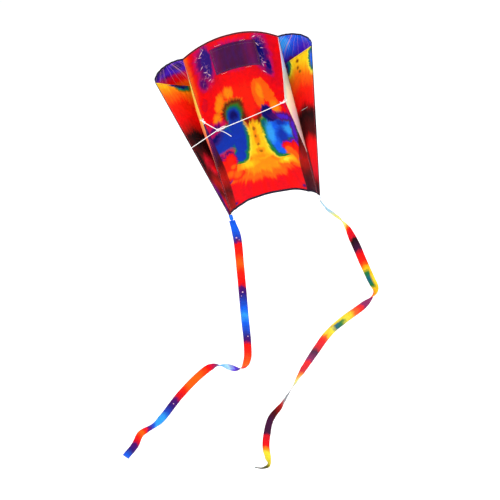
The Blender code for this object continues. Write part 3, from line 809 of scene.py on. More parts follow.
def stitch_rows(name, rows, material, pitch=STITCH_PITCH, length=STITCH_LENGTH, radius=THREAD_R):
    """Rows of single stitches, each a short thread that dips into the cloth at both ends."""
    vertices, faces, base = [], [], 0
    rings, sides = 4, 5
    quads = grid_faces(rings, sides, wrap=True)
    angle = circle(sides)
    for points, normals in rows:
        centers, read = resample(points, normals, pitch)
        offsets = np.array((-0.5, -0.28, 0.28, 0.5)) * length
        heights = np.array((-0.9, 0.55, 0.55, -0.9)) * radius
        place, normal = read((centers[:, None] + offsets).ravel())
        place = place.reshape(-1, rings, 3)
        normal = normal.reshape(-1, rings, 3)
        run = unit(place[:, -1:] - place[:, :1])
        side = unit(np.cross(normal, run))
        place = place + normal * heights[None, :, None]
        ring = side[:, :, None] * np.cos(angle)[None, None, :, None]
        ring = ring + normal[:, :, None] * np.sin(angle)[None, None, :, None]
        vertices.append((place[:, :, None] + ring * radius).reshape(-1, 3))
        starts = base + np.arange(len(centers))[:, None, None] * rings * sides
        faces.append((starts + quads[None]).reshape(-1, 4))
        base += len(centers) * rings * sides
    faces = np.concatenate(faces).tolist()
    for first in range(0, base, rings * sides):
        last = first + (rings - 1) * sides
        faces.append(tuple(range(first + sides - 1, first - 1, -1)))
        faces.append(tuple(range(last, last + sides)))
    return mesh_of(name, np.concatenate(vertices) + SAIL_DATUM, faces, [material])


def frames_along(points, closed=False):
    """Two directions square to a path at each point, turning as little as they can."""
    if closed:
        runs = unit(np.roll(points, -1, 0) - np.roll(points, 1, 0))
    else:
        runs = unit(np.gradient(points, axis=0))
    start = np.array((0.0, 0.0, 1.0)) if abs(runs[0][2]) < 0.9 else np.array((1.0, 0.0, 0.0))
    sides = [unit(np.cross(runs[0], start))]
    for run in runs[1:]:
        side = sides[-1] - run * float(sides[-1] @ run)
        sides.append(unit(side))
    sides = np.array(sides)
    return sides, np.cross(runs, sides)


def tube(name, points, radius, materials, sides=8, closed=False):
    """A round tube; radius is a number or an array over stations and sides."""
    points = np.asarray(points, float)
    side, rise = frames_along(points, closed)
    angle = circle(sides)
    ring = side[:, None] * np.cos(angle)[None, :, None] + rise[:, None] * np.sin(angle)[None, :, None]
    reach = np.broadcast_to(np.asarray(radius, float), (len(points), sides))
    vertices = (points[:, None] + ring * reach[..., None] + SAIL_DATUM).reshape(-1, 3)
    count = len(points)
    if closed:
        faces = grid_faces(count + 1, sides, wrap=True) % (count * sides)
        return mesh_of(name, vertices, faces[:, ::-1], materials)
    faces = grid_faces(count, sides, True, wrap=True).tolist()
    faces.append(tuple(range(sides)))
    faces.append(tuple(range(count * sides - 1, (count - 1) * sides - 1, -1)))
    return mesh_of(name, vertices, faces, materials)


def evenly(points, step, closed=False):
    """A path's points again, about a step apart."""
    points = np.asarray(points, float)
    if closed:
        points = np.concatenate((points, points[:1]))
    far = far_along(points)
    count = max(int(round(far[-1] / step)), 3)
    at = np.linspace(0.0, far[-1], count + 1)
    if closed:
        at = at[:-1]
    return read_path(at, far, points)


def rounded(points, passes=2):
    """Corner cutting, so that a short list of points becomes a smooth route."""
    for _ in range(passes):
        here, there = points[:-1], points[1:]
        pairs = np.stack((0.75 * here + 0.25 * there, 0.25 * here + 0.75 * there), 1)
        points = np.concatenate((points[:1], pairs.reshape(-1, 3), points[-1:]))
    return points


def braided(name, points, radius, closed=False):
    """A braided line: two sets of strands cross round it, and their crossings stand proud."""
    points = evenly(points, BRAID_STEP, closed)
    sides = 16
    far = np.arange(len(points)) * BRAID_STEP
    if closed:
        turns = round(far[-1] / BRAID_LAY)
        far = far / (far[-1] + BRAID_STEP) * turns * BRAID_LAY
    angle = circle(sides)
    phase = 2.0 * math.pi * far[:, None] / BRAID_LAY
    ahead = np.cos(4.0 * (angle[None] + phase))
    behind = np.cos(4.0 * (angle[None] - phase))
    reach = radius * (0.93 + 0.075 * np.maximum(ahead, behind))
    return tube(name, points, reach, [LINE], sides, closed)


def folded_tape(name, surface, edge, material, width=BINDING_WIDTH, half=0.0008):
    """A tape folded over one edge of a cloth. edge is "first" or "last", the cloth's own rows."""
    cols = surface.points.shape[1]
    u = np.linspace(0.0, 1.0, cols)
    rim, normal = surface.at(u, 0.0 if edge == "first" else 1.0)
    inner, _ = surface.at(u, 0.02 if edge == "first" else 0.98)
    outward = unit(rim - inner)
    outward = unit(outward - normal * (outward * normal).sum(-1, keepdims=True))
    rim = rim - outward * 0.0009
    turn = np.linspace(-math.pi / 2, math.pi / 2, 7)
    outer = [(-width, -half * 0.9), (-width * 0.5, -half)]
    outer += [(half * math.cos(a), half * math.sin(a)) for a in turn]
    outer += [(-width * 0.5, half), (-width, half * 0.9)]
    thin = half - TAPE
    inside = [(-width, thin * 0.9), (-width * 0.5, thin)]
    inside += [(thin * math.cos(a), thin * math.sin(a)) for a in turn[::-1]]
    inside += [(-width * 0.5, -thin), (-width, -thin * 0.9)]
    profile = np.array(outer + inside)
    step = profile[None, :, 0, None] * outward[:, None] + profile[None, :, 1, None] * normal[:, None]
    vertices = rim[:, None] + step + SAIL_DATUM
    ring = len(profile)
    faces = grid_faces(cols, ring, wrap=True).tolist()
    last = (cols - 1) * ring
    for k in range(len(outer) - 1):
        quad = (k, k + 1, ring - 2 - k, ring - 1 - k)
        faces.append(quad[::-1])
        faces.append(tuple(last + q for q in quad))
    obj = closed_mesh_of(name, vertices.reshape(-1, 3), faces, material)
    path = rim + outward * (TAPE_STITCH_INSET - width)
    return obj, (path + normal * half, normal), (path - normal * half, -normal)


# Plain finishes: tape, thread, line and webbing.
def tape_finish(name, colour, pitch=900.0):
    graph = Graph(name)
    place = graph.node("ShaderNodeTexCoord").outputs["Object"]
    x, y, z = graph.split(place)
    diagonal = graph.math("ADD", graph.math("ADD", x, z), y)
    rib = graph.math("SINE", graph.math("MULTIPLY", diagonal, 2.0 * math.pi * pitch / 1.6))
    mottle = graph.noise(place, 160.0, 4.0)
    wear = graph.span(mottle, 0.3, 0.75, 0.75, 1.3, kind="LINEAR")
    tone = graph.blend(1.0, linear_colour(colour), graph.join(wear, wear, wear), "MULTIPLY")
    tone = graph.blend(graph.span(rib, 0.2, 1.0, 0.0, 0.12), tone, (0.10, 0.07, 0.12))
    normal = graph.bump(mottle, 0.0004, 0.6)
    normal = graph.bump(rib, 0.00012, 0.6, normal)
    rough = graph.span(mottle, 0.3, 0.7, 0.58, 0.78, kind="LINEAR")
    return graph.surface(tone, rough, normal, specular=0.12)


def thread_finish(name, colour):
    graph = Graph(name)
    place = graph.node("ShaderNodeTexCoord").outputs["Object"]
    twist = graph.noise(place, 2400.0, 2.0)
    tone = graph.blend(graph.span(twist, 0.35, 0.65, 0.0, 0.35), linear_colour(colour), (0.55, 0.5, 0.55))
    normal = graph.bump(twist, 0.0001, 0.8)
    rough = graph.span(twist, 0.3, 0.7, 0.5, 0.72, kind="LINEAR")
    return graph.surface(tone, rough, normal, sheen=0.15, specular=0.35)


def line_finish():
    """White braided polyester, a little soiled."""
    graph = Graph("bridle_line_white")
    place = graph.node("ShaderNodeTexCoord").outputs["Object"]
    fibre = graph.noise(place, 1900.0, 3.0)
    soil = graph.noise(place, 38.0, 3.0)
    tone = graph.blend(graph.span(soil, 0.45, 0.8, 0.0, 0.4), (0.80, 0.77, 0.76), (0.66, 0.58, 0.54))
    tone = graph.blend(graph.span(fibre, 0.35, 0.7, 0.0, 0.2), tone, (0.55, 0.55, 0.58))
    normal = graph.bump(fibre, 0.00012, 0.8)
    rough = graph.span(fibre, 0.3, 0.7, 0.62, 0.82, kind="LINEAR")
    return graph.surface(tone, rough, normal, sheen=0.25, specular=0.3)


TAPE_BLACK = tape_finish("binding_tape_black", "ink")
TAPE_RED = tape_finish("binding_tape_red", "maroon")
PIPING = tape_finish("seam_piping_dark", "ink", 700.0)
THREAD_DARK = thread_finish("thread_dark", "plum")
THREAD_WHITE = thread_finish("thread_white", "white")
THREAD_RED = thread_finish("thread_red", "crimson")
THREAD_GOLD = thread_finish("thread_gold", "amber")
THREAD_PALE_BLUE = thread_finish("thread_pale_blue", "sky")
LINE = line_finish()
WEBBING = {
    "left": tape_finish("tab_webbing_blue", "azure", 500.0),
    "right": tape_finish("tab_webbing_pale", "pale", 500.0),
}


# Sail surfaces.
def bow_point(t, v, clear=SEAM_CLEAR):
    """Centre panel: x and y for an array of shares t at one station v."""
    bow = mix(*BOW, v)
    power = mix(*BOW_SQUARENESS, v)
    x = -HALF_SPAN * np.cos(np.linspace(0.0, math.pi, 241))
    y = bow * (1.0 - np.abs(x / HALF_SPAN) ** power)
    far = np.concatenate(((0.0,), np.cumsum(np.hypot(np.diff(x), np.diff(y)))))
    wanted = mix(clear, far[-1] - clear, t)
    return np.interp(wanted, far, x), np.interp(wanted, far, y)


def center_surface():
    cols, rows = 151, 231
    t = np.linspace(0.0, 1.0, cols)
    points = np.empty((rows, cols, 3))
    for j, v in enumerate(np.linspace(0.0, 1.0, rows)):
        x, y = bow_point(t, v)
        points[j] = np.stack((x, y, np.full(cols, -CHORD * v)), -1)
    surface = Surface(points, (0.0, -1.0, 0.0))
    u, v = np.meshgrid(t, np.linspace(0.0, 1.0, rows))
    from_seam = np.minimum(u, 1.0 - u)
    held = smooth(from_seam / 0.10)
    metres_u, metres_v = u * 0.42, v * CHORD
    height = 0.0013 * crumple(metres_u, metres_v, 3) * held
    pucker = value_noise(metres_v * 90, np.zeros_like(v), 8) * np.exp(-(((from_seam - 0.02) / 0.02) ** 2))
    height += 0.0007 * pucker
    ripple = np.cos(2.0 * math.pi * (u * 5.0 + 0.35 * value_noise(u * 3, v * 3, 12)))
    height += 0.0012 * ripple * smooth((v - 0.62) / 0.38) * held
    for flip, start, width in ((False, 0.33, 0.082), (True, 0.42, 0.125)):
        across = 1.0 - u if flip else u
        limit = width * (v - start) / (1.0 - start)
        fold = np.exp(-(((across - limit) / 0.010) ** 2)) * smooth((v - start) / 0.1)
        height += 0.0016 * fold
        inside = smooth((limit - across) / 0.03) * smooth(across / 0.02)
        height -= 0.0022 * inside
    return surface.pushed(height)


def cell_points(side, z, t, fullness):
    ratio = mix(fullness[0], fullness[1], np.clip(-z / CHORD, 0.0, 1.0))
    f = (CELL_CORNER[2] - z) / (CELL_CORNER[2] - CELL_TIP[2])
    edge_x, edge_y = (mix(CELL_CORNER[k], CELL_TIP[k], f) for k in (0, 1))
    run = np.stack((edge_x - HALF_SPAN, edge_y), -1)
    length = np.linalg.norm(run, axis=-1)
    half = 2.0 * np.arctan(2.0 * np.abs(ratio))
    radius = length / (2.0 * np.sin(half))
    arc = 2.0 * half * radius
    share = mix(SEAM_CLEAR / arc, 1.0 - EDGE_CLEAR / arc, t)
    angle = (2.0 * share - 1.0) * half
    along = 0.5 * length + radius * np.sin(angle)
    rise = radius * (np.cos(angle) - np.cos(half)) * np.sign(ratio)
    forward = run / length[..., None]
    x = HALF_SPAN + forward[..., 0] * along - forward[..., 1] * rise
    y = forward[..., 1] * along + forward[..., 0] * rise
    return np.stack((side * x, y, z), -1)


def cell_surface(side, upper, seed):
    cols, rows = (57, 221) if upper else (45, 201)
    u, v = np.meshgrid(np.linspace(0.0, 1.0, cols), np.linspace(0.0, 1.0, rows))
    top = CELL_CORNER[2] * u if upper else mix(-LIP_AT_SEAM, CELL_CORNER[2], u)
    z = mix(top, -CHORD, v)
    points = cell_points(side, z, u, UPPER_FULLNESS if upper else LOWER_FULLNESS)
    facing = (0.0, 1.0, 0.0) if upper else (0.0, -1.0, 0.0)
    surface = Surface(points, facing)
    held = smooth(np.minimum(u, 1.0 - u) / 0.16)
    width = mix(0.12, 0.02, v)
    height = 0.0012 * crumple(u * width * 1.2 + 0.3 * seed, v * CHORD, seed) * held * mix(1.0, 0.35, v)
    folds = u * 6.5 + value_noise(u * 4, v * 6, seed + 5)
    gather = np.exp(-((v / 0.10) ** 2)) * np.cos(2 * math.pi * folds)
    height += 0.0009 * gather * held
    return surface.pushed(height)


# Keels, as a triangle from the seam out to the bridle point.
def keel_edges(depth):
    """Front and rear station of the keel at a distance out from the seam."""
    front_run = np.array((KEEL_DEPTH, -KEEL_TIP))
    forward = front_run / np.linalg.norm(front_run)
    inward = np.array((forward[1], -forward[0]))
    s = np.linspace(0.0, 1.0, 401)
    edge = s[:, None] * front_run + inward * (KEEL_HOLLOW * 4.0 * s * (1.0 - s))[:, None]
    front = np.interp(depth, edge[:, 0], edge[:, 1])
    rear = -KEEL_END + depth / KEEL_DEPTH * (KEEL_END - KEEL_TIP)
    return front, rear


def keel_surface(side, seed):
    cols, rows = 61, 141
    u, v = np.meshgrid(np.linspace(0.0, 1.0, cols), np.linspace(0.0, 1.0, rows))
    depth = mix(KEEL_CLEAR, KEEL_DEPTH - 0.0012, u)
    front, rear = keel_edges(depth)
    z = mix(front, rear, v)
    x = side * (HALF_SPAN - depth * math.sin(KEEL_LEAN))
    points = np.stack((x, -depth * math.cos(KEEL_LEAN), z), -1)
    surface = Surface(points, (side, 0.0, 0.0))
    held = smooth(np.minimum(u, 1.0 - u) / 0.2)
    size = (front - rear) / KEEL_END
    height = 0.0012 * crumple(depth, z, seed) * held
    belly = 0.017 if side < 0 else 0.004
    height += belly * np.sin(math.pi * u) * np.sin(math.pi * v) * size
    return surface.pushed(height)


build_stage()

# Bridle cords come first: their route repeats the frame's.
def keel_point(side, d, z):
    return np.array((side * (HALF_SPAN - d * math.sin(KEEL_LEAN)), -d * math.cos(KEEL_LEAN), z))


def keel_out(side):
    return unit(keel_point(side, 1.0, 0.0) - keel_point(side, 0.0, 0.0))


def keel_normal(side):
    return np.array((side * math.cos(KEEL_LEAN), -math.sin(KEEL_LEAN), 0.0))


def straight(start, end, step, sag=0.0):
    count = max(2, round(float(np.linalg.norm(end - start)) / step))
    t = np.linspace(0.0, 1.0, count + 1)[:, None]
    return mix(start, end, t) + np.array((0.0, 0.0, -4.0)) * sag * t * (1.0 - t)


def length_of(points):
    return float(np.linalg.norm(np.diff(points, axis=0), axis=1).sum())


def long_loop(center, along, across, half, count):
    a = circle(count)[:, None]
    return center + along * half[0] * np.cos(a) + across * half[1] * np.sin(a)


def hitch(name, start, toward, turns, pitch, radius, line_r, tag):
    """Turns of line wound round a cord near its end, with a short tag standing off."""
    run = unit(toward - start)
    first = unit(np.cross(run, np.array((0.0, 0.0, 1.0))))
    second = np.cross(run, first)
    a = np.linspace(0.0, 2.0 * math.pi * turns, 14 * turns + 1)[:, None]
    coil = start + run * (0.002 + pitch * a / (2.0 * math.pi))
    coil = coil + (first * np.cos(a) + second * np.sin(a)) * radius
    out = coil[-1] + run * 0.004 + (first - 0.4 * second) * tag * np.linspace(0.15, 1.0, 6)[:, None] ** 1.3
    out[:, 2] -= np.linspace(0.0, 1.0, 6) ** 2 * tag * 0.35
    return braided(name, rounded(np.concatenate((coil, out)), passes=1), line_r)


def build_bridle():
    for side, word in ((-1, "left"), (1, "right")):
        eyelet = KEEL_DEPTH - EYELET_INSET
        middle = keel_point(side, eyelet + TIE_LOOP_R, -KEEL_TIP)
        ring = long_loop(middle, keel_out(side), keel_normal(side), (TIE_LOOP_R, TIE_LOOP_R), 48)
        loop = braided(f"{word}_tie_loop_line", ring, TIE_CORD_R, closed=True)
        put(loop, "bridle_anchor", "bridle_line", f"{word}_keel_tie_loop")
        loop_end = eyelet + 2 * TIE_LOOP_R + TIE_CORD_R
        start = keel_point(side, loop_end + 0.0003 + BRIDLE_R, -KEEL_TIP)
        end = KNOT + unit(start - KNOT) * (KNOT_REACH - 0.002)
        route = straight(start, end, 0.004, 0.002)
        leg = braided(f"bridle_{word}_leg_line", route, BRIDLE_R)
        put(leg, "bridle", "bridle_line", f"bridle_{word}_leg")
        coils = 7 if side < 0 else 4
        wrap = hitch(f"bridle_{word}_hitch", start, end, coils, 0.0021, 0.0021, 0.00095, 0.008)
        put(wrap, "bridle", "bridle_line")
    a = circle(160)
    trefoil = np.stack((np.sin(a) + 2 * np.sin(2 * a), -np.sin(3 * a), np.cos(a) - 2 * np.cos(2 * a)), 1)
    knot = braided("bridle_knot_line", KNOT + KNOT_SCALE * trefoil, BRIDLE_R, closed=True)
    put(knot, "bridle", "bridle_line", "bridle_knot")
    spare_run = unit(np.array((0.93, -0.15, 0.34)))
    spare_rise = unit(np.array((-0.34, 0.0, 0.93)))
    a = np.linspace(math.pi + 0.25, 3.0 * math.pi - 0.25, 40)[:, None]
    middle = KNOT + spare_run * (0.0055 + 0.0125)
    spare = middle + spare_run * 0.0125 * np.cos(a) + spare_rise * 0.0034 * np.sin(a)
    spare[:, 2] -= 60.0 * (((spare - KNOT) @ spare_run) ** 2) * 0.02
    loop = braided("bridle_spare_loop_line", spare, BRIDLE_R * 0.8)
    put(loop, "bridle", "bridle_line", "bridle_spare_loop")
    tag_run = unit(np.array((0.90, -0.30, -0.31)))
    far = np.arange(7)[:, None]
    tag = KNOT + tag_run * (0.0040 + 0.0064 * far) + np.array((0, 0, -0.0004)) * far**2
    tag = rounded(tag)
    tag_piece = braided("bridle_tag_end_line", tag, BRIDLE_R * 0.9)
    put(tag_piece, "bridle", "bridle_line", "bridle_tag_end")
    tow = KNOT + LEADER_DIRECTION * LEADER_REACH
    first = KNOT + LEADER_DIRECTION * (KNOT_REACH - 0.002)
    last = tow - LEADER_DIRECTION * (TOW_LOOP_HALF[0] + BRIDLE_R)
    route = straight(first, last, 0.004)
    leader = put(braided("leader_line_braid", route, BRIDLE_R), "leader", "bridle_line", "leader_line")
    eye = long_loop(tow, LEADER_DIRECTION, np.array((0.0, 0.0, 1.0)), TOW_LOOP_HALF, 64)
    eye = put(braided("tow_loop_braid", eye, BRIDLE_R, closed=True), "leader", "bridle_line", "tow_loop")
    whip = hitch("leader_loop_knot", last, first, 4, 0.0022, 0.0021, 0.0010, 0.006)
    put(whip, "leader", "bridle_line")


build_bridle()


def bar_tack(name, surface, u, v, du, lift, body, slot):
    """A dense zigzag tack straight across a cloth, from (u, v) to (u + du, v)."""
    t = np.linspace(0.0, 1.0, 57)
    sway = np.where(np.arange(57) % 2 == 0, 1.0, -1.0)
    points, normals = surface.at(u + du * t, v, lift)
    run = unit(points[-1] - points[0])
    side = unit(np.cross(normals, run))
    obj = tube(name, points + side * (sway * 0.0011)[:, None], 0.00026, [THREAD_WHITE], 5)
    return put(obj, body, slot)


def build_center():
    surface = center_surface()
    pairs = list(zip(PRINT_BANDS[:-1], PRINT_BANDS[1:], strict=True))
    faces = [center_print(f"center_print_face_{k}", 0.0, 0.20, *pair) for k, pair in enumerate(pairs)]
    backs = [center_print(f"center_print_reverse_{k}", 0.05, 0.20, *pair) for k, pair in enumerate(pairs)]
    panel = cloth_piece("center_panel_cloth", surface, faces + backs)
    cols = surface.points.shape[1] - 1
    along = np.arange(len(panel.data.polygons)) // cols / (surface.points.shape[0] - 1)
    band = np.searchsorted(PRINT_BANDS[1:-1], along).astype(np.int32)
    panel.data.polygons.foreach_set("material_index", band)
    put(panel, "sail", "sail_print", "center_panel")
    lead, top_a, top_b = folded_tape("center_leading_tape", surface, "first", TAPE_RED)
    put(lead, "sail", "binding_tape", "center_leading_binding")
    trail, low_a, low_b = folded_tape("center_trailing_tape", surface, "last", TAPE_BLACK, 0.0085)
    put(trail, "sail", "binding_tape", "center_trailing_binding")
    seams = stitch_rows("center_binding_stitches", [top_a, top_b, low_a, low_b], THREAD_DARK)
    put(seams, "sail", "binding_tape")
    rows = []
    v = np.linspace(0.012, 0.988, 260)
    for u in (0.010, 0.019, 0.981, 0.990):
        rows += both_faces(surface, u, v, CLOTH / 2)
    felled = stitch_rows("center_seam_stitches", rows, THREAD_RED)
    put(felled, "sail", "sail_print")
    pocket, tacks = build_pocket(surface)


def pocket_print():
    graph = Graph("pocket_cloth_plum")
    share = graph.node("ShaderNodeUVMap", uv_map="print").outputs[0]
    streak = graph.noise(graph.vector("MULTIPLY", share, (11.0, 1.6, 1.0)), 1.0, 4.0)
    across = graph.split(share)[0]
    bands = ((0.0, "mauve"), (0.22, "plum"), (0.62, "plum"), (0.85, "mauve"), (1.0, "plum"))
    warm = graph.ramp(across, [(spot, linear_colour(tone)) for spot, tone in bands])
    tone = graph.blend(0.35, linear_colour("plum"), warm)
    tone = graph.blend(graph.span(streak, 0.35, 0.75, 0.0, 0.30), tone, linear_colour("indigo"))
    return ripstop(graph, tone, 0.0, 0.05)


def build_pocket(surface):
    """The stow pocket: hemmed, sewn down on three sides and slack at its mouth."""
    cols, rows = 81, 45
    u0, u1 = 0.5 - POCKET_SPAN / 2, 0.5 + POCKET_SPAN / 2
    v0, v1 = POCKET_TOP / CHORD, (POCKET_TOP + POCKET_DEPTH) / CHORD
    a, b = np.meshgrid(np.linspace(0.0, 1.0, cols), np.linspace(0.0, 1.0, rows))
    sewn = smooth(np.minimum(a, 1.0 - a) / 0.08) * smooth((1.0 - b) / 0.12)
    lift = 0.0007 + 0.0016 * sewn + 0.0008 * sewn * crumple(a * 0.17, b * 0.1, 31)
    lift = lift - 0.0003 * np.exp(-(((b - 0.10) / 0.008) ** 2))
    points, _ = surface.at(mix(u0, u1, a), mix(v0, v1, b), lift)
    patch = Surface(points, (0.0, -1.0, 0.0))
    pocket = cloth_piece("stow_pocket_cloth", patch, [pocket_print()], CLOTH * 1.4)
    put(pocket, "sail", "pocket_cloth", "stow_pocket")
    rows_of = []
    t = np.linspace(0.0, 1.0, 80)
    for inset_u, inset_v in ((0.012, 0.02), (0.034, 0.06)):
        for u, v in (
            (inset_u, mix(0.02, 1.0 - inset_v, t)),
            (1.0 - inset_u, mix(0.02, 1.0 - inset_v, t)),
            (mix(inset_u, 1.0 - inset_u, t), 1.0 - inset_v),
        ):
            rows_of.append(patch.at(u, v, CLOTH * 0.7))
    rows_of.append(patch.at(mix(0.01, 0.99, t), 0.10, CLOTH * 0.7))
    sewing = stitch_rows("stow_pocket_stitches", rows_of, THREAD_DARK)
    put(sewing, "sail", "pocket_cloth")
    tacks = [sewing]
    for name, u, v, du in (
        ("upper_left", 0.345, 0.042, 0.055),
        ("upper_right", 0.570, 0.047, 0.050),
        ("lower_left", 0.335, 0.203, 0.055),
        ("lower_right", 0.565, 0.203, 0.050),
    ):
        tacks.append(bar_tack(f"pocket_tack_{name}", surface, u, v, du, 0.0006, "sail", "sail_print"))
    return pocket, tacks


build_center()


# Bands run from the leading edge down, then groups as in the centre print.
# The black-red and maroon runs down both lower skins are partly print and partly painted shade: each lower
# skin lies over its upper skin, and the doubled cloth shows dark against the light.
LOWER_BANDS = {
    "left": ((0.0, "yellow"), (0.06, "amber"), (0.10, "orange"), (0.17, "scarlet"), (0.28, "red"),
             (0.35, "brick"), (0.39, "black_red"), (0.49, "black_red"), (0.54, "maroon"), (0.60, "crimson"),
             (0.68, "maroon"), (0.78, "brick"), (0.86, "maroon"), (0.95, "crimson"), (1.0, "maroon")),
    "right": ((0.0, "yellow"), (0.08, "yellow"), (0.13, "amber"), (0.17, "orange"), (0.26, "scarlet"),
              (0.35, "red"), (0.40, "maroon"), (0.43, "black_red"), (0.51, "maroon"), (0.56, "maroon"),
              (0.62, "red"), (0.74, "red"), (0.86, "crimson"), (0.95, "maroon"), (1.0, "ink")),
}
LOWER_DYES = {
    "left": (
        ((0.3, -0.1), 0.7, 0.14, ((0.3, "navy"), (0.6, "teal"), (0.8, "green"), (1.0, "ochre")),
         ((0.30, 0.012, 0.30, 0.036, 0),)),
        # Painted shadow: ink and navy along the top of the left lip, in the cell's opening above the slack
        # lip.
        ((0.3, -0.1), 0.8, 0.3, ((0.6, "ink"), (1.0, "navy")), ((0.45, 0.004, 0.24, 0.014, 0),)),
        ((0.9, 0.7), 0.9, 0.3, ((0.5, "ink"), (0.8, "navy"), (1.0, "purple")),
         ((0.98, 0.90, 0.36, 0.16, 0),)),
        ((0.2, 0.6), 1.0, 0.4, ((0.5, "red"), (1.0, "crimson")), ((0.20, 0.62, 0.30, 0.05, 0),)),
        ((0.2, 0.5), 0.9, 0.4, ((0.5, "black_red"), (1.0, "maroon")), ((0.90, 0.55, 0.20, 0.16, 0),)),
    ),
    "right": (
        ((0.1, -0.1), 0.7, 0.14, ((0.4, "navy"), (0.7, "teal"), (0.85, "green"), (1.0, "lemon")),
         ((0.00, 0.030, 0.30, 0.080, 0),)),
        ((1.0, 0.1), 0.7, 0.14, ((0.4, "azure"), (0.7, "teal"), (0.85, "green"), (1.0, "lemon")),
         ((1.02, 0.070, 0.17, 0.100, 0),)),
        ((0.5, 0.1), 0.8, 0.4, ((0.5, "brown"), (1.0, "ochre")),
         ((0.52, 0.032, 0.060, 0.012, 0), (0.50, 0.075, 0.050, 0.011, 0), (0.56, 0.105, 0.05, 0.010, 0))),
        ((0.9, 0.9), 0.8, 0.4, ((0.5, "ink"), (1.0, "maroon")), ((0.98, 0.97, 0.36, 0.06, 0),)),
        ((0.1, 0.9), 0.8, 0.4, ((0.5, "maroon"), (1.0, "maroon")), ((0.02, 0.80, 0.20, 0.20, 0),)),
    ),
}
UPPER_BANDS = {
    "left": ((0.0, "navy"), (0.02, "indigo"), (0.045, "violet"), (0.060, "purple"), (0.075, "magenta"),
             (0.095, "crimson"), (0.115, "red"), (0.135, "orange"), (0.19, "amber"), (0.32, "orange"),
             (0.42, "yellow"), (0.52, "green"), (0.60, "teal"), (0.70, "blue"), (0.80, "purple"),
             (0.90, "crimson"), (1.0, "red")),
    "right": ((0.0, "azure"), (0.05, "azure"), (0.10, "violet"), (0.16, "violet"), (0.20, "purple"),
              (0.27, "magenta"), (0.36, "red"), (0.48, "orange"), (0.60, "yellow"), (0.72, "green"),
              (0.82, "blue"), (0.92, "purple"), (1.0, "crimson")),
}
UPPER_DYES = {
    "left": (
        ((0.9, 0.0), 0.8, 0.4, ((0.5, "pink"), (1.0, "magenta")), ((0.90, 0.060, 0.26, 0.022, 0),)),
        ((0.3, 0.0), 0.8, 0.3, ((0.5, "indigo"), (1.0, "violet")), ((0.20, 0.035, 0.26, 0.035, 0),)),
    ),
    "right": (
        ((0.1, 0.0), 0.8, 0.35, ((0.5, "sky"), (1.0, "azure")), ((0.05, 0.050, 0.30, 0.080, 0),)),
        ((0.8, 0.1), 0.8, 0.40, ((0.5, "violet"), (1.0, "violet")), ((0.70, 0.075, 0.34, 0.050, 0),)),
        ((0.8, 0.2), 0.9, 0.30, ((0.5, "purple"), (1.0, "mauve")), ((0.70, 0.150, 0.60, 0.030, -4),)),
    ),
}


def crinkle_rays(name, word, tall, through):
    """The upper skins' print, with pale rays fanning down from the leading edge."""
    graph = Graph(name)
    plane = uv_plane(graph, 1.0, tall)[1]
    moved = warped(graph, plane)
    place = graph.math("DIVIDE", graph.split(moved)[1], tall)
    streak = graph.noise(graph.vector("MULTIPLY", plane, (26.0, 3.0, 1.0)), 1.0, 3.0)
    place = graph.math("MULTIPLY_ADD", graph.math("SUBTRACT", streak, 0.5), 0.04, place)
    colour = graph.ramp(place, [(spot, linear_colour(tone)) for spot, tone in UPPER_BANDS[word]])
    colour = laid_dyes(graph, moved, colour, UPPER_DYES[word], tall)
    heading = graph.vector("SUBTRACT", moved, (0.45, -0.30, 0.0))
    ray = graph.noise(graph.vector("NORMALIZE", heading), 30.0, 3.0)
    rays = graph.span(ray, 0.55, 0.62)
    near = graph.span(graph.vector("LENGTH", heading, out=1), 0.35, 1.3, 1.0, 0.0)
    share = graph.math("MULTIPLY", graph.math("MULTIPLY", rays, near), 0.6)
    colour = graph.blend(share, colour, linear_colour("blush"))
    return ripstop(graph, colour, 0.0, through)


def edge_roll(name, points, radius, material, body, slot, *nodes):
    """A seam turned in on itself: a slim uneven roll with an overlock thread wound round it."""
    points = evenly(points, 0.002)
    count = len(points)
    lumps = 1.0 + 0.10 * value_noise(np.arange(count) * 0.4, np.zeros(count), 17)
    roll = tube(name, points, (radius * lumps)[:, None] * np.ones((1, 10)), [material], 10)
    put(roll, body, slot, *nodes)
    side, rise = frames_along(points)
    far = np.linspace(0.0, 1.0, count * 5)
    turns = length_of(points) / 0.0042
    marks = np.linspace(0.0, 1.0, count)
    place, first, second = (read_path(far, marks, table) for table in (points, side, rise))
    angle = (2.0 * math.pi * turns * far)[:, None]
    thread = place + (first * np.cos(angle) + second * np.sin(angle)) * (radius * 1.02)
    wound = tube(name + "_overlock", thread, 0.00022, [THREAD_DARK], 4)
    put(wound, body, slot)
    return roll, wound


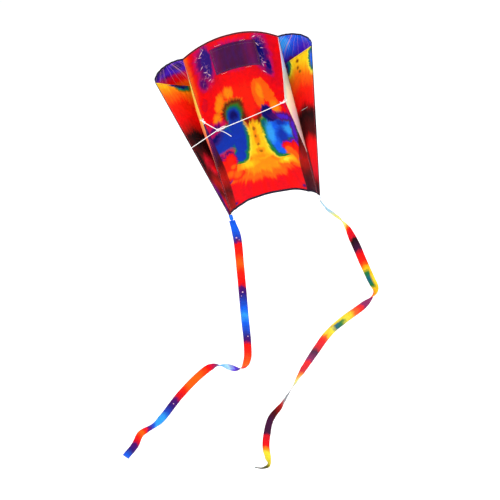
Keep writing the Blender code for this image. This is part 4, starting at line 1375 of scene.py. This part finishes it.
def build_cell(side, word):
    body = f"{word}_cell"
    seed = 40 if side < 0 else 60
    upper = cell_surface(side, True, seed)
    lower = cell_surface(side, False, seed + 9)
    outside = crinkle_rays(f"{word}_upper_print_face", word, UPPER_TALL, 0.2)
    inside = crinkle_rays(f"{word}_upper_print_inside", word, UPPER_TALL, 0.3)
    skin = cloth_piece(f"{word}_upper_skin_cloth", upper, [outside, inside])
    put(skin, body, "upper_skin_print", f"{word}_upper_skin")
    print_of = (LOWER_BANDS[word], LOWER_DYES[word], LOWER_TALL)
    face = banded_print(f"{word}_lower_print_face", *print_of)
    reverse = banded_print(f"{word}_lower_print_reverse", *print_of, 0.3)
    under = cloth_piece(f"{word}_lower_skin_cloth", lower, [face, reverse])
    put(under, body, "lower_skin_print", f"{word}_lower_skin")
    lead, row_a, row_b = folded_tape(f"{word}_cell_leading_tape", upper, "first", TAPE_BLACK)
    put(lead, body, "binding_tape", f"{word}_cell_leading_binding")
    hem, hem_a, hem_b = folded_tape(f"{word}_cell_lip_fold", lower, "first", face, half=0.0006)
    add_uv_from(hem, lower)
    put(hem, body, "lower_skin_print", f"{word}_cell_lip_hem")
    sewing = stitch_rows(f"{word}_cell_stitches", [row_a, row_b, hem_a, hem_b], THREAD_DARK)
    put(sewing, body, "binding_tape")
    rows = []
    v = np.linspace(0.02, 0.985, 240)
    for sheet, u in ((upper, 0.035), (lower, 0.05), (upper, 0.965), (lower, 0.95)):
        rows.append(sheet.at(u, v, CLOTH / 2))
    seams = stitch_rows(f"{word}_cell_seam_stitches", rows, THREAD_RED)
    put(seams, body, "lower_skin_print")
    z = np.linspace(CELL_CORNER[2], -CHORD, 9)
    f = (CELL_CORNER[2] - z) / (CELL_CORNER[2] - CELL_TIP[2])
    x = mix(CELL_CORNER[0], CELL_TIP[0], f)
    y = mix(CELL_CORNER[1], CELL_TIP[1], f)
    edge, wound = edge_roll(
        f"{word}_cell_edge_roll", np.stack((side * x, y, z), -1), 0.0011, PIPING, body, "binding_tape",
        f"{word}_cell_edge_cord",
    )
    seam = np.stack((np.full(9, side * HALF_SPAN), np.zeros(9), np.linspace(0.0, -CHORD, 9)), -1)
    edge_roll(f"{word}_seam_roll", seam, 0.0010, PIPING, "sail", "seam_piping", f"{word}_seam_cord")
    return lower


def vertices_of(obj):
    """A piece's vertices, from the sail's datum."""
    co = np.empty(len(obj.data.vertices) * 3, np.float32)
    obj.data.vertices.foreach_get("co", co)
    return co.reshape(-1, 3) - SAIL_DATUM


def add_uv_from(obj, surface):
    """Print and weave coordinates for a hem, carried over from the cloth that it edges."""
    co = vertices_of(obj)
    cols = surface.points.shape[1]
    ring = len(co) // cols
    u = np.repeat(np.linspace(0.0, 1.0, cols), ring)
    drop = surface.points[0, :, 2].repeat(ring) - co[:, 2]
    add_uv(obj, "print", np.stack((u, np.clip(drop / CHORD, 0.0, 1.0)), -1))
    add_uv(obj, "cloth", np.stack((co[:, 0], co[:, 2]), -1))


build_cell(-1, "left")
right_lower = build_cell(1, "right")
bar_tack("right_cell_tack", right_lower, 0.30, 0.355, 0.36, 0.0005, "right_cell", "lower_skin_print")


KEEL_BANDS = {
    "left": ((0.0, "crimson"), (0.10, "pink"), (0.24, "lemon"), (0.42, "yellow"), (0.56, "amber"),
             (0.68, "orange"), (0.80, "red"), (0.92, "maroon"), (1.0, "purple")),
    "right": ((0.0, "violet"), (0.14, "azure"), (0.26, "sky"), (0.36, "green"), (0.46, "lemon"),
              (0.56, "yellow"), (0.68, "pink"), (0.82, "crimson"), (1.0, "crimson")),
}
# How far each keel's outer face pales towards its unprinted reverse. The left keel's small value is painted
# light: its outer face keeps nearly all its print, standing in for light shining through it from behind.
KEEL_PALENESS_AND_BACKLIGHT = {"left": 0.10, "right": 0.72}


def build_keel(side, word):
    body = f"{word}_keel"
    surface = keel_surface(side, 80 if side < 0 else 90)
    rows, cols = surface.points.shape[:2]
    depth = mix(KEEL_CLEAR, KEEL_DEPTH, np.linspace(0.0, 1.0, cols))[None] / KEEL_DEPTH * np.ones((rows, 1))
    share = -surface.points[..., 2] / KEEL_END
    print_uv = np.stack((depth, share), -1)
    outer = banded_print(
        f"{word}_keel_outer", KEEL_BANDS[word], (), KEEL_TALL, KEEL_PALENESS_AND_BACKLIGHT[word], 0.30, 0.2,
        (0.98, 0.97, 0.95),
    )
    inner = banded_print(f"{word}_keel_inner", KEEL_BANDS[word], (), KEEL_TALL, 0.0, 0.30, 0.2)
    panel = cloth_piece(f"{word}_keel_cloth", surface, [outer, inner], print_uv=print_uv)
    put(panel, body, "keel_print", f"{word}_keel_panel")
    front, front_a, front_b = folded_tape(f"{word}_keel_front_fold", surface, "first", outer, half=0.0006)
    rear, rear_a, rear_b = folded_tape(f"{word}_keel_rear_fold", surface, "last", outer, half=0.0006)
    for fold in (front, rear):
        keel_uv(fold)
    put(front, body, "keel_print", f"{word}_keel_front_hem")
    put(rear, body, "keel_print", f"{word}_keel_rear_hem")
    patch, ring = tip_patch(side, word, outer)
    v = np.linspace(0.01, 0.99, 160)
    rows_of = [trim(row, 0.86) for row in (front_a, front_b, rear_a, rear_b)]
    for u in (0.016, 0.036):
        rows_of += both_faces(surface, u, v, CLOTH / 2)
    sewing = stitch_rows(f"{word}_keel_stitches", rows_of, THREAD_GOLD)
    put(sewing, body, "keel_hem")


def trim(row, share):
    points, normals = row
    keep = int(len(points) * share)
    return points[:keep], normals[:keep]


def keel_uv(obj):
    """Print and weave coordinates for a piece sewn to a keel, from where it lies on it."""
    co = vertices_of(obj)
    depth = -co[:, 1] / math.cos(KEEL_LEAN)
    add_uv(obj, "print", np.stack((depth / KEEL_DEPTH, -co[:, 2] / KEEL_END), -1))
    add_uv(obj, "cloth", np.stack((depth, -co[:, 2]), -1))


def tip_patch(side, word, material):
    """Two more layers of cloth at the bridle point, with a sewn eyelet through them."""
    hole = keel_point(side, KEEL_DEPTH - EYELET_INSET, -KEEL_TIP)
    normal = keel_normal(side)
    out = keel_out(side)
    down = np.array((0.0, 0.0, -1.0))
    sides, layers = 40, 5
    vertices = []
    for k in range(layers):
        for a in circle(sides):
            ray = np.array((math.cos(a), math.sin(a)))
            reach = mix(EYELET_R, patch_reach(ray), k / (layers - 1))
            vertices.append(hole + (out * ray[0] + down * ray[1]) * reach)
    count = layers * sides
    middle = np.array(vertices)
    both = np.concatenate((middle + normal * PATCH_HALF, middle - normal * PATCH_HALF))
    faces = []
    for k in range(layers - 1):
        for i in range(sides):
            j = (i + 1) % sides
            quad = (k * sides + i, k * sides + j, (k + 1) * sides + j, (k + 1) * sides + i)
            faces.append(quad)
            faces.append(tuple(q + count for q in quad[::-1]))
    for k in (0, layers - 1):
        for i in range(sides):
            j = (i + 1) % sides
            faces.append((k * sides + i, k * sides + j, count + k * sides + j, count + k * sides + i))
    patch = closed_mesh_of(f"{word}_keel_tip_cloth", both + SAIL_DATUM, faces, material)
    keel_uv(patch)
    put(patch, f"{word}_keel", "tip_patch", f"{word}_keel_tip_patch")
    turns = 36
    a = np.linspace(0.0, 2.0 * math.pi, turns * 10, endpoint=False)
    rim = hole + (out * np.cos(a)[:, None] + down * np.sin(a)[:, None]) * (
        0.0024 + 0.0006 * np.cos(a * turns)[:, None]
    )
    rim = rim + normal * (0.0012 * np.sin(a * turns))[:, None]
    ring = tube(f"{word}_keel_eyelet_thread", rim, 0.00022, [THREAD_WHITE], 5, closed=True)
    put(ring, f"{word}_keel", "keel_hem")
    return patch, ring


def patch_reach(ray):
    """How far the tip patch reaches from its eyelet along a ray, out and down."""
    best = 0.015 / max(-ray[0], 1e-6) if ray[0] < 0 else 1.0
    tip = np.array((EYELET_INSET, 0.0))
    for edge in (np.array((-KEEL_DEPTH, -KEEL_TIP)), np.array((-KEEL_DEPTH, KEEL_END - KEEL_TIP))):
        across = np.array((edge[1], -edge[0]))
        speed = float(across @ ray)
        gap = float(across @ tip)
        if speed * gap > 0:
            best = min(best, gap / speed)
    return min(best, 0.016) - 0.0003


for side, word in ((-1, "left"), (1, "right")):
    build_keel(side, word)


# Tails.
FLYER = np.array((0.0, -0.86, 0.5)) / math.hypot(0.86, 0.5)


def smooth_route(stations, count):
    """Points spaced evenly along a centripetal run through the stations, with the turn at each."""
    table = np.array(stations, float)
    table = np.vstack((2 * table[0] - table[1], table, 2 * table[-1] - table[-2]))
    dense = []
    for k in range(1, len(table) - 2):
        p0, p1, p2, p3 = table[k - 1], table[k], table[k + 1], table[k + 2]
        knots = [0.0]
        for a, b in ((p0, p1), (p1, p2), (p2, p3)):
            knots.append(knots[-1] + float(np.linalg.norm((b - a)[:3])) ** 0.5)
        t0, t1, t2, t3 = knots
        for i in range(24):
            t = mix(t1, t2, i / 24)
            a1 = p0 * (t1 - t) / (t1 - t0) + p1 * (t - t0) / (t1 - t0)
            a2 = p1 * (t2 - t) / (t2 - t1) + p2 * (t - t1) / (t2 - t1)
            a3 = p2 * (t3 - t) / (t3 - t2) + p3 * (t - t2) / (t3 - t2)
            b1 = a1 * (t2 - t) / (t2 - t0) + a2 * (t - t0) / (t2 - t0)
            b2 = a2 * (t3 - t) / (t3 - t1) + a3 * (t - t1) / (t3 - t1)
            dense.append(b1 * (t2 - t) / (t2 - t1) + b2 * (t - t1) / (t2 - t1))
    dense.append(table[-2])
    dense = np.array(dense)
    far = far_along(dense[:, :3])
    wanted = np.linspace(0.0, far[-1], count + 1)
    return read_path(wanted, far, dense), wanted


def tail_surface(word, stations, seed):
    count, cols = 640, 15
    route, far = smooth_route(stations, count)
    route[:6, 2] += 0.0024 * np.linspace(1.0, 0.0, 6)
    wide = np.gradient(route[:, :3], axis=0)
    kernel = np.ones(7) / 7
    runs = [np.convolve(np.pad(wide[:, k], 3, "edge"), kernel, "valid") for k in range(3)]
    runs = unit(np.stack(runs, -1))
    side = unit(np.cross(runs, FLYER))
    face = np.cross(side, runs)
    turn = np.radians(route[:, 3])[:, None]
    across = side * np.cos(turn) + face * np.sin(turn)
    up = unit(np.cross(across, runs))
    width = mix(TAIL_NECK[word], TAIL_WIDTH, smooth(far / TAIL_NECK_LENGTH))
    u = np.linspace(0.0, 1.0, cols)
    points = route[:, None, :3] + across[:, None] * (width[:, None] * (u - 0.5)[None])[..., None]
    s, w = np.broadcast_arrays(far[:, None], (u - 0.5)[None])
    necked = 1.0 - smooth(far / 0.06)[:, None]
    height = 0.0014 * np.cos(w * 2.0 * math.pi * 4.0) * necked
    height = height + 0.0011 * value_noise(s * 34, w * 1.4 + 5, seed) * (1 - necked)
    flutter = value_noise(s * 60, np.sign(w) * 3 + 9, seed + 1) * (np.abs(w) * 2) ** 2
    height = height + 0.0012 * flutter * (1 - necked)
    cup = value_noise(s * 9, np.zeros_like(w), seed + 2) * (1 - (2 * w) ** 2)
    height = height + 0.0016 * cup * (1 - necked)
    # A ribbon that twists has no way to face, so its normals stay as the grid gives them.
    return Surface(points + up[:, None] * height[..., None], (0.0, 0.0, 0.0)), far[-1]


LEFT_TAIL_BANDS = (
    (0.0, "azure"), (0.04, "azure"), (0.075, "cobalt"), (0.100, "purple"), (0.112, "red"),
    (0.16, "scarlet"), (0.21, "orange"), (0.25, "scarlet"), (0.30, "red"), (0.316, "crimson"),
    (0.328, "purple"), (0.36, "indigo"), (0.40, "cobalt"), (0.43, "azure"), (0.460, "sky"),
    (0.50, "azure"), (0.54, "cobalt"), (0.575, "indigo"), (0.600, "purple"), (0.612, "red"),
    (0.66, "scarlet"), (0.75, "orange"), (0.775, "scarlet"), (0.79, "indigo"), (0.81, "violet"),
    (0.84, "mist"), (0.88, "sky"), (0.90, "mauve"), (0.93, "red"), (0.99, "orange"), (1.06, "orange"),
    (1.10, "scarlet"), (1.145, "crimson"), (1.165, "purple"), (1.21, "indigo"), (1.25, "cobalt"),
    (1.29, "sky"), (1.335, "sky"), (1.36, "cobalt"), (1.385, "purple"), (1.400, "red"), (1.42, "orange"),
    (1.45, "scarlet"), (1.475, "crimson"), (1.49, "purple"), (1.53, "indigo"), (1.57, "azure"),
    (1.62, "sky"),
)
RIGHT_TAIL_BANDS = (
    (0.0, "mist"), (0.06, "mist"), (0.09, "cream"), (0.155, "cream"), (0.165, "amber"), (0.175, "red"),
    (0.215, "crimson"), (0.228, "black_red"), (0.275, "plum"), (0.290, "crimson"), (0.30, "red"),
    (0.335, "scarlet"), (0.355, "orange"), (0.375, "yellow"), (0.395, "green"), (0.43, "teal"),
    (0.475, "green"), (0.495, "yellow"), (0.520, "amber"), (0.530, "red"), (0.545, "mauve"),
    (0.59, "mauve"), (0.605, "red"), (0.640, "orange"), (0.655, "yellow"), (0.685, "lemon"),
    (0.705, "green"), (0.740, "teal"), (0.760, "lemon"), (0.795, "yellow"), (0.805, "orange"),
    (0.825, "red"), (0.875, "crimson"), (0.895, "plum"), (0.945, "mauve"), (0.96, "red"),
    (1.020, "crimson"), (1.045, "amber"), (1.08, "cream"), (1.13, "steel"), (1.19, "steel"),
    (1.225, "brick"), (1.28, "maroon"), (1.33, "plum"), (1.40, "plum"), (1.415, "crimson"), (1.48, "red"),
    (1.505, "amber"), (1.53, "lemon"), (1.60, "lemon"), (1.625, "olive"), (1.72, "teal"),
)
# Undyed flecks on the left tail and the yellow rim of the right one, as groups in the ribbon's own
# metres: across from its first edge, then along from its tab.
TAIL_DYES = {
    "left": (
        ((0.016, 0.1), 0.6, 0.30, ((0.5, "white"), (1.0, "blush")),
         ((0.019, 0.082, 0.0030, 0.0026, 0), (0.016, 0.348, 0.0030, 0.0030, 0),
          (0.012, 0.572, 0.0026, 0.0032, 0), (0.022, 0.366, 0.0016, 0.0016, 0),
          (0.010, 0.094, 0.0014, 0.0014, 0), (0.015, 1.190, 0.0028, 0.0026, 0))),
    ),
    "right": (
        ((0.016, 0.43), 1.0, 0.30, ((0.6, "lemon"), (1.0, "yellow")), ((0.000, 0.440, 0.013, 0.070, 0),)),
        ((0.016, 0.73), 1.0, 0.30, ((0.6, "lemon"), (1.0, "yellow")), ((0.000, 0.715, 0.009, 0.045, 0),)),
    ),
}


def band_stops(bands, low, high):
    """Colours at their shares of the way from low to high."""
    return [((spot - low) / (high - low), linear_colour(tone)) for spot, tone in bands]


def tail_print(name, word, bands, length, fade):
    """A ribbon's print, its bands in metres along it, in two runs because a ramp takes 32 colours."""
    graph = Graph(name)
    plane = uv_plane(graph, TAIL_WIDTH, length)[1]
    across, along = graph.split(plane)[:2]
    push = graph.math("SUBTRACT", graph.noise(plane, 60.0, 3.0), 0.5)
    drawn_out = graph.vector("MULTIPLY", plane, (420.0, 40.0, 1.0))
    streak = graph.math("SUBTRACT", graph.noise(drawn_out, 1.0, 2.0), 0.5)
    middle = graph.math("PINGPONG", across, TAIL_WIDTH / 2)
    place = graph.math("MULTIPLY_ADD", push, 0.030, along)
    place = graph.math("MULTIPLY_ADD", streak, 0.020, place)
    place = graph.math("MULTIPLY_ADD", middle, 0.5, place)
    place = graph.math("DIVIDE", graph.math("SUBTRACT", place, TAIL_WIDTH * 0.12), length)
    colour = None
    for first in range(0, len(bands) - 1, 24):
        part = bands[first : first + 25]
        low, high = part[0][0] / length, part[-1][0] / length
        share_of = graph.math("DIVIDE", graph.math("SUBTRACT", place, low), high - low)
        run = graph.ramp(share_of, band_stops(part, part[0][0], part[-1][0]))
        if colour is None:
            colour = run
        else:
            colour = graph.blend(graph.math("GREATER_THAN", place, low), colour, run)
    colour = laid_dyes(graph, plane, colour, TAIL_DYES[word], 1.0)
    mottle = graph.noise(plane, 210.0, 4.0, rough=0.7)
    tone = graph.span(mottle, 0.3, 0.7, 0.80, 1.12, kind="LINEAR")
    colour = graph.blend(1.0, colour, graph.join(tone, tone, tone), "MULTIPLY")
    return ripstop(graph, colour, fade, 0.25, (0.90, 0.88, 0.92))


def build_tail(side, word, stations, bands):
    surface, length = tail_surface(word, stations, 120 if side < 0 else 140)
    front = tail_print(f"{word}_tail_print_face", word, bands, length, 0.0)
    back = tail_print(f"{word}_tail_print_reverse", word, bands, length, 0.03)
    ribbon = cloth_piece(f"{word}_tail_ribbon_cloth", surface, [front, back], 0.0004)
    put(ribbon, f"{word}_tail", f"{word}_tail_print", f"{word}_tail_ribbon")
    last = 1.0 - TAIL_HEM / length
    a, b = np.meshgrid(np.linspace(0.0, 1.0, 15), np.linspace(last, 1.0, 9))
    turns = [surface.at(a, b, lift)[0] for lift in (0.00055, -0.00055)]
    hem = hem_sleeve(f"{word}_tail_end_fold", turns, a, b, front)
    put(hem, f"{word}_tail", f"{word}_tail_print", f"{word}_tail_end_hem")
    v = np.linspace(0.03, 0.998, 900)
    rows = []
    for u in (0.045, 0.955):
        rows += both_faces(surface, u, v, 0.0002)
    rows += both_faces(surface, np.linspace(0.03, 0.97, 30), last + 0.0015 / length, 0.00075)
    sewing = stitch_rows(f"{word}_tail_stitches", rows, THREAD_RED, 0.0042, 0.0030, 0.0002)
    put(sewing, f"{word}_tail", f"{word}_tail_print")
    build_tab(side, word)


def hem_sleeve(name, sheets, a, b, material):
    """The ribbon's end turned back on both sides and sewn."""
    rows, cols = a.shape
    vertices = np.concatenate(sheets).reshape(-1, 3) + SAIL_DATUM
    count = rows * cols
    faces = grid_faces(rows, cols).tolist() + (grid_faces(rows, cols, True) + count).tolist()
    rim = list(range(cols)) + [j * cols + cols - 1 for j in range(1, rows)]
    rim += [(rows - 1) * cols + i for i in range(cols - 2, -1, -1)]
    rim += [j * cols for j in range(rows - 2, 0, -1)]
    for k, p in enumerate(rim):
        q = rim[(k + 1) % len(rim)]
        faces.append((p, q, q + count, p + count))
    obj = closed_mesh_of(name, vertices, faces, material)
    uv = np.stack((a, b), -1).reshape(-1, 2)
    add_uv(obj, "print", np.concatenate((uv, uv)))
    add_uv(obj, "cloth", np.concatenate((uv, uv)) * np.array((TAIL_WIDTH, 1.6)))
    return obj


def build_tab(side, word):
    """A doubled webbing tab, narrowing to its end and box-stitched."""
    cols, rows = 15, 33
    a, b = np.meshgrid(np.linspace(-0.5, 0.5, cols), np.linspace(0.0, 1.0, rows))
    narrowing = mix(1.0, 0.5, smooth((b - 0.80) / 0.20))
    x = side * TAB_X + a * TAB_WIDTH * narrowing
    z = -TAB_TOP - TAB_LENGTH * b
    y = np.full_like(a, TAB_Y) + 0.0002 * np.cos(a * 2.0 * math.pi * 7.0)
    surface = Surface(np.stack((x, y, z), -1), (0.0, -1.0, 0.0))
    tab = cloth_piece(f"{word}_tail_tab_webbing", surface, [WEBBING[word]], 0.0015)
    put(tab, f"{word}_tab", "tab_webbing", f"{word}_tail_tab")
    t = np.linspace(0.0, 1.0, 40)
    rows_of = []
    for u0, v0, u1, v1 in (
        (0.14, 0.10, 0.86, 0.10),
        (0.14, 0.55, 0.86, 0.55),
        (0.14, 0.10, 0.14, 0.55),
        (0.86, 0.10, 0.86, 0.55),
        (0.14, 0.10, 0.86, 0.55),
        (0.86, 0.10, 0.14, 0.55),
    ):
        rows_of += both_faces(surface, mix(u0, u1, t), mix(v0, v1, t), 0.00075)
    sewing = stitch_rows(f"{word}_tail_tab_stitches", rows_of, THREAD_PALE_BLUE, 0.0021, 0.0015, 0.0002)
    put(sewing, f"{word}_tab", "tab_webbing")


build_tail(-1, "left", LEFT_TAIL, LEFT_TAIL_BANDS)
build_tail(1, "right", RIGHT_TAIL, RIGHT_TAIL_BANDS)
